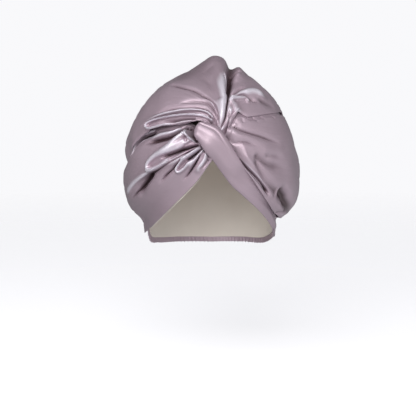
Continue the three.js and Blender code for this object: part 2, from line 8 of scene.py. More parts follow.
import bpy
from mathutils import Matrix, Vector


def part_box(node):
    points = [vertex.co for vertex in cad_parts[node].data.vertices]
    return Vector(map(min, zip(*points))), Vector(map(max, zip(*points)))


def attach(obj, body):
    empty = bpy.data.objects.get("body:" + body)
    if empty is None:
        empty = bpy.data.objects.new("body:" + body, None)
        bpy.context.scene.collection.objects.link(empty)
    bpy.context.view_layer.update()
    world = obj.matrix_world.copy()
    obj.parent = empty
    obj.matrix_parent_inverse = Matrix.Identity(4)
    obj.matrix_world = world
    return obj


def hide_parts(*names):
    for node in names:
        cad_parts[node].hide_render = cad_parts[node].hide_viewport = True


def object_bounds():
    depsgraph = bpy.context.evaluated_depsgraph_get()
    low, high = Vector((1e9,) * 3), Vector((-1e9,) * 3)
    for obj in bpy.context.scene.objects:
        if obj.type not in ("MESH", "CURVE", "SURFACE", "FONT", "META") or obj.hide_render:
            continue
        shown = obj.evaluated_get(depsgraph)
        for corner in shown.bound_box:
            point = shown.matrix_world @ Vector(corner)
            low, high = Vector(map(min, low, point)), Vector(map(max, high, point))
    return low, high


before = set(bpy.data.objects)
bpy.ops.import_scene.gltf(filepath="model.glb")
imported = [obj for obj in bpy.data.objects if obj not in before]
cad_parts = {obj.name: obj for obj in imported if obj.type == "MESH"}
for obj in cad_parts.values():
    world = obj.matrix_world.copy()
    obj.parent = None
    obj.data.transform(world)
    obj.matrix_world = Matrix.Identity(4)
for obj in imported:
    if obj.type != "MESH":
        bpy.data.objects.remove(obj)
cad_low, cad_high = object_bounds()
print("CAD box", [round(x, 4) for x in (*cad_low, *cad_high)])

# %% [markdown]
# ## The view
# A camera with a long lens flattens perspective, as in a catalogue picture. It stands a little higher
# than the bonnet's top and looks slightly down. A short lens close by would swell the twist, so the long
# one was chosen.

# %% The camera
import math

import bpy
import numpy as np
from mathutils import Vector

look_down = math.radians(6.7)
camera_distance = 1.86
aim = Vector((-0.0037, 0.0025, 0.0209))
forward = Vector((0, math.cos(look_down), -math.sin(look_down)))
camera_data = bpy.data.cameras.new("camera")
camera_data.lens = 129.8
camera_data.sensor_width = 36
camera = bpy.data.objects.new("camera", camera_data)
bpy.context.scene.collection.objects.link(camera)
camera.location = aim - forward * camera_distance
camera.rotation_euler = (math.radians(90) - look_down, 0, 0)
bpy.context.scene.camera = camera
bpy.context.scene.view_settings.view_transform = "Standard"
print("camera", [round(x, 3) for x in camera.location])

# %% [markdown]
# ## Floor and light
# Satin is read by its reflections: a broad soft light gives each fold one long highlight, and the dark
# side of each fold needs something dim to mirror. So one big softbox stands in front, a second hangs
# high to the left for the top of the crown, and two weak ones fill the sides. The surroundings are
# bright below, as over a white floor, and dim above, behind and to the left. The floor is a pale plane
# whose rim fades out, so no horizon cuts the picture.

# %% Softboxes
lamp_aim = Vector((0, 0, 0.085))


def softbox(name, azimuth, elevation, distance, width, height, power, tint):
    """An area light that faces the bonnet from a direction in degrees, 0 in front and 90 at +X."""
    a, e = math.radians(azimuth), math.radians(elevation)
    out = Vector((math.sin(a) * math.cos(e), -math.cos(a) * math.cos(e), math.sin(e)))
    light = bpy.data.lights.new(name, "AREA")
    light.shape = "RECTANGLE"
    light.size, light.size_y = width, height
    light.energy, light.color = power, tint
    lamp = bpy.data.objects.new(name, light)
    lamp.location = lamp_aim + out * distance
    lamp.rotation_euler = out.to_track_quat("Z", "Y").to_euler()
    lamp.visible_camera = False
    bpy.context.scene.collection.objects.link(lamp)


softbox("key", -9, 27, 2.0, 1.3, 1.1, 31, (1.0, 0.99, 0.98))
softbox("left", -26, 10, 2.2, 0.9, 1.2, 3.5, (1.0, 0.99, 0.98))
softbox("right", 72, 8, 2.4, 0.8, 1.2, 2, (0.98, 0.98, 1.0))
softbox("top", -22, 56, 1.9, 1.5, 1.0, 13, (0.97, 0.98, 1.0))

# %% Helpers for shader nodes
def plug(tree, made, values):
    """Sets a node's inputs: another node's output is linked, and anything else is the input's value."""
    for label, value in values.items():
        if hasattr(value, "is_output"):
            tree.links.new(value, made.inputs[label])
        else:
            made.inputs[label].default_value = value
    return made


def node(tree, kind, values=None):
    """A new shader node with some of its inputs set."""
    return plug(tree, tree.nodes.new("ShaderNode" + kind), values or {})


def calculate(tree, operation, *values):
    """What a math node makes of its values."""
    made = node(tree, "Math")
    made.operation = operation
    return plug(tree, made, dict(enumerate(values))).outputs[0]


def spread(tree, value, start, end, low=0.0, high=1.0):
    """A value that goes from low to high while the one given goes from start to end."""
    ends = {"From Min": start, "From Max": end, "To Min": low, "To Max": high}
    return node(tree, "MapRange", {"Value": value, **ends}).outputs["Result"]


print("helpers for nodes:", *(helper.__name__ for helper in (plug, node, calculate, spread)))

# %% Surroundings
room_stops = [  # place between straight down, 0, and straight up, 1, and the light that comes from there
    (0.0, 0.8), (0.36, 0.64), (0.47, 0.4), (0.62, 0.26), (0.85, 0.16), (1.0, 0.12),
]
room_tint = (0.97, 0.98, 1)
brightest, dimmest = 1.3, 0.45
dim_left = -1.1

world = bpy.data.worlds.new("studio")
bpy.context.scene.world = world
world.use_nodes = True
tree = world.node_tree
tree.nodes.clear()
way = node(tree, "TexCoord").outputs["Generated"]
split = node(tree, "SeparateXYZ", {0: way}).outputs
room = node(tree, "ValToRGB", {"Fac": spread(tree, split["Z"], -1, 1)})
while len(room.color_ramp.elements) < len(room_stops):
    room.color_ramp.elements.new(0.5)
for element, (at, value) in zip(room.color_ramp.elements, room_stops):
    element.position, element.color = at, (*(c * value for c in room_tint), 1)
away = calculate(tree, "MULTIPLY_ADD", split["X"], dim_left, split["Y"])
strength = spread(tree, away, -1, 1, brightest, dimmest)
lit = node(tree, "Background", {"Color": room.outputs["Color"], "Strength": strength})
seen = node(tree, "Background", {"Color": (0.945, 0.945, 0.965, 1)})
path = node(tree, "LightPath")
either = node(tree, "MixShader", {
    0: path.outputs["Is Camera Ray"], 1: lit.outputs[0], 2: seen.outputs[0]})
node(tree, "OutputWorld", {"Surface": either.outputs[0]})
print("surroundings from", brightest, "in front to", dimmest, "behind")

# %% Floor
floor_height = -0.167
floor_reach = 2.0
faded_at = 0.75
bpy.ops.object.select_all(action="DESELECT")
bpy.ops.mesh.primitive_plane_add(size=2 * floor_reach, location=(0, 0, floor_height))
floor = bpy.context.object
floor.name = "floor"
floor.visible_glossy = floor.visible_diffuse = False
paper = bpy.data.materials.new("pale paper")
paper.use_nodes = True
tree = paper.node_tree
place = node(tree, "TexCoord").outputs["Object"]
scale = node(tree, "Mapping", {"Vector": place, "Scale": (1 / floor_reach,) * 3})
ball = node(tree, "TexGradient", {"Vector": scale.outputs["Vector"]})
ball.gradient_type = "SPHERICAL"
plug(tree, tree.nodes["Principled BSDF"], {
    "Base Color": (0.5, 0.5, 0.51, 1),
    "Roughness": 0.9,
    "Specular IOR Level": 0,
    "Emission Color": (0.97, 0.97, 1, 1),
    "Emission Strength": 0.72,
    "Alpha": spread(tree, ball.outputs["Fac"], 0, faded_at),
})
floor.data.materials.append(paper)
print("floor at", floor_height)

# %% [markdown]
# ## How the cloth is measured
# All the cloth lies round one point, the heart of the bonnet, behind the twist. A place on it is then a
# direction, azimuth and elevation in degrees, and a distance. This suits a turban better than x, y, z,
# because its folds run out from the twist like rays, and a fold's height is simply added distance.
# Distances are in millimetres here, and become metres when a mesh is made.

# %% Directions
metres = 0.001


def ease(t):
    t = np.clip(t, 0, 1)
    return t * t * (3 - 2 * t)


def between(t, start, full, fading, gone):
    """1 between full and fading, 0 before start and after gone."""
    return ease((t - start) / (full - start)) * (1 - ease((t - fading) / (gone - fading)))


def mix(a, b, t):
    return a + (b - a) * t


def unit(azimuth, elevation):
    a, e = np.radians(np.asarray(azimuth, float)), np.radians(np.asarray(elevation, float))
    return np.stack(np.broadcast_arrays(np.sin(a) * np.cos(e), -np.cos(a) * np.cos(e), np.sin(e)), -1)


def azimuth_of(d):
    return np.degrees(np.arctan2(d[..., 0], -d[..., 1]))


def elevation_of(d):
    return np.degrees(np.arcsin(np.clip(d[..., 2], -1, 1)))


print("straight ahead", unit(0, 0), "wearer's left", unit(90, 0).round(3))

# %% Smooth lines
def smooth_through(knots, values, t):
    """A smooth cubic through values at rising knots. values may be numbers, points or rows of points."""
    knots, values, t = np.asarray(knots, float), np.asarray(values, float), np.asarray(t, float)
    steps = np.diff(knots)
    rises = np.diff(values, axis=0) / steps.reshape((-1,) + (1,) * (values.ndim - 1))
    slopes = np.empty_like(values)
    slopes[0], slopes[-1] = rises[0], rises[-1]
    for k in range(1, len(knots) - 1):
        a, b = steps[k - 1], steps[k]
        slopes[k] = (rises[k - 1] * b + rises[k] * a) / (a + b)
    k = np.clip(np.searchsorted(knots, t, side="right") - 1, 0, len(knots) - 2)
    h, s = steps[k], (t - knots[k]) / steps[k]
    if values.ndim > 1:
        shape = t.shape + (1,) * (values.ndim - 1)
        h, s = h.reshape(shape), s.reshape(shape)
    return (
        (1 + 2 * s) * (1 - s) ** 2 * values[k]
        + s * (1 - s) ** 2 * h * slopes[k]
        + s * s * (3 - 2 * s) * values[k + 1]
        + s * s * (s - 1) * h * slopes[k + 1]
    )


print("half way from 0 over 1 to 4:", smooth_through([0, 1, 2], [0, 1, 4], [0.5, 1.5]))

# %% [markdown]
# ## The two forms the cloth lies between
# Inside is the head, an egg that the lining and the hem lie on. Outside is the bag, a fuller egg with a
# few swells and dents where the hair fills it or the cloth hangs flat. Their sizes come from the frame:
# the lining's box gives the head, and the whole box gives the bag.

# %% Head and bag
opening_low, opening_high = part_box("lining")
clearance = 0.7
head = {
    "side": opening_high.x / metres + clearance,
    "front": -opening_low.y / metres + clearance,
    "up": 70.0,
    "nape": 0.36,  # mm that the back draws in for each degree below the heart
}
heart = np.array([0, 0, opening_high.z / metres + clearance - head["up"]])
bag_share = {"side": 0.99, "front": 0.977, "back": 1.0067, "up": 0.8738}  # of the box, before its swells
bag = {
    "side": bag_share["side"] * (cad_high.x - cad_low.x) / 2 / metres,
    "front": bag_share["front"] * -cad_low.y / metres,
    "back": bag_share["back"] * cad_high.y / metres,
    "up": bag_share["up"] * (cad_high.z / metres - heart[2]),
    "down": 150.0,
}
swells = [  # azimuth, elevation, height in mm, spread in degrees
    (50, 83, 11, 15), (-90, -20, 2.5, 20), (87, -25, 5, 20), (90, 24, -6, 18), (-90, 30, -4, 16),
    (100, 50, -3, 12), (-90, 60, -3.5, 14), (-90, 23, -2.5, 7), (90, 9, -3.5, 12),
    (-90, -38, 7, 9),
]
print("heart", heart.round(2), "head", head, "bag", {k: round(v, 1) for k, v in bag.items()})

# %% Distances of head and bag
def bag_radius(d):
    deep = np.where(d[..., 1] < 0, bag["front"], bag["back"])
    tall = np.where(d[..., 2] > 0, bag["up"], bag["down"])
    radius = 1 / np.sqrt((d[..., 0] / bag["side"]) ** 2 + (d[..., 1] / deep) ** 2 + (d[..., 2] / tall) ** 2)
    for azimuth, elevation, height, spread_over in swells:
        apart = np.degrees(np.arccos(np.clip(d @ unit(azimuth, elevation), -1, 1)))
        radius = radius + height * np.exp(-((apart / spread_over) ** 2))
    return radius


def head_radius(d):
    below = np.maximum(0, -elevation_of(d))
    deep = np.where(d[..., 1] < 0, head["front"], head["front"] - head["nape"] * below)
    up = np.maximum(0, d[..., 2]) / head["up"]
    return 1 / np.sqrt((d[..., 0] / head["side"]) ** 2 + (d[..., 1] / deep) ** 2 + up**2)


print("in front, head and bag:", head_radius(unit([0], [0])).round(1), bag_radius(unit([0], [0])).round(1))

# %% [markdown]
# ## The hem
# The bag draws in towards the head above its hem, except on the wearer's left front, where it hangs free
# over the strap. Two lines give the lower edge of the bands and the edge of the whole opening.

# %% Hem lines and the level of the cloth
hem_line = [
    (-180, -47), (-150, -47.5), (-118, -48), (-86, -49), (-62, -44.5), (-44, -37.5), (-30, -29.4),
    (-19, -21), (-9, -11), (-1.5, -0.8), (4, 2), (30, -20), (62, -44), (90, -48), (118, -48),
    (150, -47.5), (180, -47),
]
opening_line = [
    (-180, -56), (-150, -55.6), (-120, -55), (-104, -54), (-94, -51.5), (-86, -49), (-62, -44.5),
    (-44, -37.5), (-30, -29.4), (-19, -21), (-9, -11), (-1.5, -0.8), (1, 1.5), (7.6, -6.9),
    (14.4, -15.3), (24.2, -23.2), (40, -33.6), (61, -44), (76, -49), (96, -52), (120, -55),
    (150, -55.6), (180, -56),
]
hem_reach = 48  # mm above the hem over which the bag draws in
free_span = (-2, 12, 70, 118)  # azimuths where the hem begins to hang free, does so, fades and ends
hem_lift = {"front": 2.2, "back": 8.3}  # mm that the hem stands off the head
back_from, back_over = 75, 20  # azimuth where the front becomes the back, and over how many degrees


def line_at(line, azimuth):
    return smooth_through([a for a, _ in line], [e for _, e in line], azimuth)


def cloth_level(d):
    """Distance of the outer face from the heart, before any fold."""
    azimuth = azimuth_of(d)
    full = bag_radius(d)
    height = (elevation_of(d) - line_at(hem_line, azimuth)) * np.radians(full)
    pull = (1 - between(azimuth, *free_span)) * ease(1 - height / hem_reach)
    lift = mix(hem_lift["front"], hem_lift["back"], ease((np.abs(azimuth) - back_from) / back_over))
    return mix(full, head_radius(d) + lift, pull)


def point_at(d, radius):
    return heart + d * np.asarray(radius)[..., None]


print("cloth level in front, at the side and behind", cloth_level(unit([0, 90, 180], [40, 0, 0])).round(1))

# %% [markdown]
# ## Gathered panels
# A panel is a grid. u runs along its folds, from the twist to the far end, and v runs across them. A few
# guides say where the cloth goes, each a line of directions at the same stations, and the panel is the
# smooth skin through them. At the twist the cloth sinks away, deep enough to go under the strap.

# %% Guides
stations = [0, 0.035, 0.12, 0.27, 0.5, 0.75, 1]
crowding = 1.5  # how much closer the rows sit near the twist, 1 for even rows


def panel_directions(guides, u, v):
    """Directions over the whole grid, rows along u and columns along v."""
    lines = [smooth_through(stations, unit(*np.array(line, float).T), u) for *_, line in guides]
    across = smooth_through([place for place, *_ in guides], np.array(lines), v)
    d = np.swapaxes(across, 0, 1)
    return d / np.linalg.norm(d, axis=-1, keepdims=True)


def column_places(guides, columns):
    """v of every column: columns[k] of them between guide k and guide k + 1."""
    places = [0.0]
    for k, count in enumerate(columns):
        places += list(mix(guides[k][0], guides[k + 1][0], np.arange(1, count + 1) / count))
    return np.array(places)


def row_places(count):
    return (np.arange(count + 1) / count) ** crowding


print("rows sit closer near the twist:", row_places(8).round(3))

# %% [markdown]
# ## Folds
# A fold is a line over the cloth with a width and a height. A ridge is round, a tongue is puffed with a
# flat top, a crease is a narrow valley, and a lap is a ridge that drops steeply on one side. Its height
# is added where the cloth is near the line. Cloth simulation would find folds of its own, but not these
# ones in these places, so they are laid along lines.

# %% Fold relief
fold_reach = 3.2  # widths away from its line at which a fold has died out
profiles = {  # height of a fold at s widths from its line, and on its steep side or not
    "ridge": lambda s, steep: np.exp(-s * s),
    "tongue": lambda s, steep: np.exp(-(s**4)),
    "crease": lambda s, steep: np.exp(-1.5 * np.sqrt(s * s + 0.02)),
    "lap": lambda s, steep: np.exp(-np.where(steep, 3 * s, s) ** 2),
}


def fold_line(path):
    """A smooth line of points over the level cloth, about one for each degree or two."""
    knots, turns = np.arange(len(path)), unit(*np.array(path, float).T)
    steps = 5 * len(path) + int(40 * np.linalg.norm(np.diff(turns, axis=0), axis=1).sum())
    line = smooth_through(knots, turns, np.linspace(0, len(path) - 1, steps))
    line /= np.linalg.norm(line, axis=-1, keepdims=True)
    return point_at(line, cloth_level(line))


def nearest_on(line, points):
    """Distance of each point from a line, the share of the line's length there, and its side."""
    best, along, side = np.full(len(points), 1e9), np.zeros(len(points)), np.zeros(len(points))
    for k in range(len(line) - 1):
        span = line[k + 1] - line[k]
        offset = points - line[k]
        t = np.clip(offset @ span / (span @ span), 0, 1)
        apart = np.linalg.norm(offset - t[:, None] * span, axis=1)
        closer = apart < best
        best[closer] = apart[closer]
        along[closer] = (k + t[closer]) / (len(line) - 1)
        side[closer] = (np.cross(span, offset) * (points - heart)).sum(-1)[closer]
    return best, along, side


def fold_relief(points, folds):
    """Height in mm that all the folds add at each point of the level cloth."""
    flat = points.reshape(-1, 3)
    total = np.zeros(len(flat))
    for _, kind, root, tip, height, fade, path in folds:
        crest = fold_line(path)
        reach = fold_reach * max(root, tip)
        near = np.all((flat > crest.min(0) - reach) & (flat < crest.max(0) + reach), axis=1)
        if near.any():
            apart, along, side = nearest_on(crest, flat[near])
            end = ease((1 - along) / fade) if fade else 1
            total[near] += height * profiles[kind](apart / mix(root, tip, along), side > 0) * end
    return total.reshape(points.shape[:-1])


print("kinds of fold:", *profiles)

# %% [markdown]
# ## Fine gathers
# Cloth that is drawn together puckers finely at the stitching, and the puckers join into fewer and wider
# folds further out. Sheaves of wandering lines do this, from fine ones near the twist and the nape to
# wide ones between. The draws are seeded, so every run gives the same cloth.

# %% Puckers and hang
def wander(u, v, counts, drift, seed):
    """A slow wave along u and a quick one across v; its zero lines wander, join and part."""
    draw = np.random.default_rng(seed)
    total = 0
    for count in counts:
        phase, slope, sway, turn = draw.uniform(0, 2 * np.pi), *draw.uniform(-1, 1, 2), draw.uniform(0, 6)
        waves = count * v + drift * slope * u + 0.3 * drift * sway * np.sin(5 * u + turn)
        total = total + np.sin(2 * np.pi * waves + phase)
    return total / np.sqrt(len(counts) / 2)


def puckers(u, v, counts, drift, depth, seed, valley=0.42, mean=0.45):
    """Rounded folds parted by narrow valleys, so that on the whole the cloth keeps its level."""
    wave = wander(u, v, counts, drift, seed)
    return depth * (mean - np.exp(-((wave / valley) ** 2)))


def hang(points, height, seed, size=42.0, waves=9):
    """Slight unevenness of cloth that hangs over soft hair, with waves about size mm long."""
    draw = np.random.default_rng(seed)
    total = 0
    for _ in range(waves):
        direction = draw.normal(size=3)
        direction /= np.linalg.norm(direction)
        turns = points @ direction * 2 * np.pi / (size * draw.uniform(0.7, 1.6))
        total = total + np.sin(turns + draw.uniform(0, 6.3))
    return height * total / math.sqrt(waves)


print("puckers of depth 1:", puckers(np.zeros(5), np.linspace(0, 0.2, 5), (6, 8), 1, 1, 11).round(2))

# %% [markdown]
# ## Making one sheet
# Each piece starts as a flat grid, as a cut of cloth does. Its points are moved to their places, a UV
# map in metres of cloth is laid along the folds, so that the weave follows them, and Solidify gives it
# its wall. A value called crest keeps how high each point stands in its folds. The finish uses it to
# paint shade into the colour where a point lies low and a highlight where it stands high.

# %% Grid and UV map
def flat_grid(name, rows, columns):
    """A grid primitive, and for each of its points the row and column that it is."""
    bpy.ops.object.select_all(action="DESELECT")
    bpy.ops.mesh.primitive_grid_add(x_subdivisions=columns, y_subdivisions=rows, size=1)
    cloth = bpy.context.object
    cloth.name = cloth.data.name = name
    co = np.empty(3 * len(cloth.data.vertices))
    cloth.data.vertices.foreach_get("co", co)
    co = co.reshape(-1, 3)
    column = np.rint((co[:, 0] + 0.5) * columns).astype(int)
    row = np.rint((co[:, 1] + 0.5) * rows).astype(int)
    return cloth, row, column


def cloth_map(cloth, u, v):
    """The cut's own UV map, in metres."""
    corner = np.empty(len(cloth.data.loops), int)
    cloth.data.loops.foreach_get("vertex_index", corner)
    layer = cloth.data.uv_layers.active
    layer.name = "cloth"
    layer.data.foreach_set("uv", np.stack([u[corner], v[corner]], -1).ravel())


def run_along(line):
    """Distance of each point of a line from its first, along the line."""
    return np.concatenate([[0], np.cumsum(np.linalg.norm(np.diff(line, axis=0), axis=1))])


print("run along a square:", run_along(np.array([[0, 0, 0], [1, 0, 0], [1, 1, 0], [0, 1, 0]])))

# %% Crests and wall
own_share = 0.35  # how much a point's own height counts, beside its height over the cloth around it
doubled = 2e-6  # metres: points closer than this are one
smooth_angle = 75  # degrees: faces that meet at less are shaded as one


def standing(relief, rows=3, columns=6):
    """How high each point stands, mostly over the cloth just around it: crests above 0, valleys below."""
    wide = np.pad(relief, ((rows, rows), (columns, columns)), mode="edge")
    size = relief.shape
    steps = [(i, j) for i in range(2 * rows + 1) for j in range(2 * columns + 1)]
    around = sum(wide[i:i + size[0], j:j + size[1]] for i, j in steps) / len(steps)
    return relief - around + own_share * relief


def finish_sheet(cloth, wall, closed):
    """Joins doubled points, turns the faces outwards, and gives the cloth its thickness."""
    bpy.context.view_layer.objects.active = cloth
    if closed:
        bpy.ops.object.mode_set(mode="EDIT")
        bpy.ops.mesh.select_all(action="SELECT")
        bpy.ops.mesh.remove_doubles(threshold=doubled)
        bpy.ops.object.mode_set(mode="OBJECT")
    centre = Vector(heart * metres)
    outwards = sum(p.normal.dot(p.center - centre) * p.area for p in cloth.data.polygons)
    if outwards < 0:
        cloth.data.flip_normals()
    thickness = cloth.modifiers.new("wall", "SOLIDIFY")
    thickness.thickness = wall * metres
    thickness.offset = -1
    bpy.ops.object.modifier_apply(modifier=thickness.name)
    bpy.ops.object.shade_smooth_by_angle(angle=math.radians(smooth_angle))


print("a lone crest of 2 mm counts as", standing(2 * np.eye(9)[4:5]).max().round(2))

# %% Grid to cloth
broad_share = 0.6  # share of the length at which a sheet's width is measured


def make_sheet(name, places, crest, wall, closed=False):
    """places: rows x columns x 3, in mm. closed joins the first column to the last."""
    rows, columns = places.shape[0] - 1, places.shape[1] - 1
    cloth, row, column = flat_grid(name, rows, columns)
    placed = places * metres
    cloth.data.vertices.foreach_set("co", placed[row, column].ravel())
    length = run_along(placed[:, columns // 2])
    width = run_along(placed[int(rows * broad_share)])
    cloth_map(cloth, width[column], length[row])
    attribute = cloth.data.attributes.new("crest", "FLOAT", "POINT")
    attribute.data.foreach_set("value", standing(crest)[row, column])
    cloth.data.update()
    finish_sheet(cloth, wall, closed)
    one_side = sum(p.area for p in cloth.data.polygons) / 2
    print(name, len(cloth.data.polygons), "faces,", round(length[-1], 3), "m long,", round(one_side, 4), "m2")
    return cloth


# %% [markdown]
# ## One panel from its guides
# The three gathered pieces differ only in their guides, folds and edges, so one function makes them all.
# trim gives a panel's own rise over the level, such as an edge that rolls under. Gathers leave a margin
# free on each side. Over the top of the head the colour gets painted shade: it is painted darker there,
# and the painted highlights of the crests fade out.

# %% Panel function
band_wall = 1.6
free_margin = 0.05  # share of the width
hanging_height, hanging_span = 0.7, (0.1, 0.35, 0.93, 1.01)
root_share, root_reach = 0.6, 0.012  # share of the dive at the very first row, and where it is whole
valley_rise = 0.7  # power: valleys reach their depth sooner after the twist than ridges their height
# From this elevation up, the top of the crown is painted darker, as painted shade, and its painted highlights
# fade.
top_shade_from, top_shade_over = 50, 22  # elevations in degrees
top_shade_share, top_shade_sinks = 0.75, 5.2


def panel(name, guides, columns, rows, folds, trim, gathers, seed):
    u, v = np.meshgrid(row_places(rows), column_places(guides, columns), indexing="ij")
    d = panel_directions(guides, u[:, 0], v[0])
    level = cloth_level(d)
    level_points = point_at(d, level)
    across = np.linalg.norm(np.diff(level_points, axis=1), axis=2)
    from_left = np.concatenate([np.zeros((rows + 1, 1)), np.cumsum(across, axis=1)], axis=1)
    from_right = from_left[:, -1:] - from_left
    knots, dives, depths, _ = zip(*guides)
    risen = ease(u / smooth_through(knots, dives, v))
    depth = smooth_through(knots, depths, v)
    relief = fold_relief(level_points, folds)
    relief = np.where(relief > 0, relief * risen, relief * risen**valley_rise)
    inner = ease(v / free_margin) * ease((1 - v) / free_margin)
    for k, (counts, drift, height, *span) in enumerate(gathers):
        relief = relief + puckers(u, v, counts, drift, height, seed + k) * between(u, *span) * inner
    hanging = hang(level_points, hanging_height, seed + 20) * between(u, *hanging_span)
    dip = depth * (1 - risen) * (root_share + (1 - root_share) * ease(u / root_reach))
    radius = level - dip + relief + hanging + trim(u, v, from_left, from_right)
    # Painted shade on the top: the crest value is faded and pulled down there, so the finish paints it darker.
    top_shade = top_shade_share * ease((elevation_of(d) - top_shade_from) / top_shade_over)
    crest = (relief + hanging) * (1 - top_shade) - top_shade_sinks * top_shade
    return make_sheet(name, point_at(d, radius), crest, band_wall)


print("cloth", band_wall, "mm thick")

# %% Edges
side_turn = (0.24, 0.2)  # u where a panel's front turns into its side, and how long that takes
notch_depth, notch_span = 8.5, (0.37, 0.48, 0.62, 0.85)


def rolled(distance, radius):
    """How far an edge has turned under, in mm, at a distance from it: a quarter of a round roll."""
    t = np.clip(1 - distance / radius, 0, 1)
    return radius * (1 - np.sqrt(1 - 0.999 * t * t))


def beside(u):
    """0 in front of the head, 1 at its side and behind."""
    return ease((u - side_turn[0]) / side_turn[1])


def side_lap(u, distance, reach):
    """Beside the head, cloth on both sides of the crown's edge sinks towards it, most at distance 0."""
    return notch_depth * np.exp(-((distance / reach) ** 2)) * between(u, *notch_span)


print("a 3 mm roll turns under by", rolled(np.array([0, 1, 2, 3]), 3).round(2))

# %% [markdown]
# ## The crown
# The crown is the bag itself, the largest piece: its cloth comes out of the twist, fans to the left in
# close rolls, goes over the top on both sides of a deep groove, and ends gathered at the nape. It could
# be draped by simulation, but the twist sets where each roll starts, so guides and a fold table hold it.

# %% Crown guides
crown_guides = [  # v, share of the length in which it rises out of the twist, mm it starts below, line
    (0, 0.035, 10, [(-1, 21.5), (-5, 26), (-20.5, 24.5), (-46.5, 19.2), (-77, -3), (-118, -23), (-150, -47)]),
    (0.14, 0.035, 10, [
        (2.5, 20.5), (-1.5, 29), (-19, 35.5), (-45.5, 31.5), (-90, 16), (-135, 0), (-157, -47)]),
    (0.28, 0.03, 6, [(4, 20), (2.5, 32), (-7, 44.5), (-55, 56), (-95, 50), (-142, 25), (-165, -47)]),
    (0.42, 0.03, 5, [(3.5, 17), (5, 32), (1, 52.5), (-25.5, 74), (-145, 70), (-160, 33), (-173, -47)]),
    (0.55, 0.04, 4.5, [(3.5, 12), (10.5, 32), (17, 48.5), (33, 67.5), (180, 82), (179, 35), (180, -47)]),
    (0.7, 0.04, 6, [(5, 11.5), (14.5, 34), (32, 47.5), (58, 55), (98, 60), (150, 30), (165, -47)]),
    (0.85, 0.04, 11, [(6, 11.5), (18, 32.5), (38, 41), (60, 40.5), (95, 40), (135, 10), (157, -47)]),
    (1, 0.03, 11, [(7, 11.5), (13.5, 28), (27.5, 29.5), (51, 31.5), (92, 29), (122, -2), (150, -47)]),
]
print(len(crown_guides), "guides from the lower left edge to the right seam")

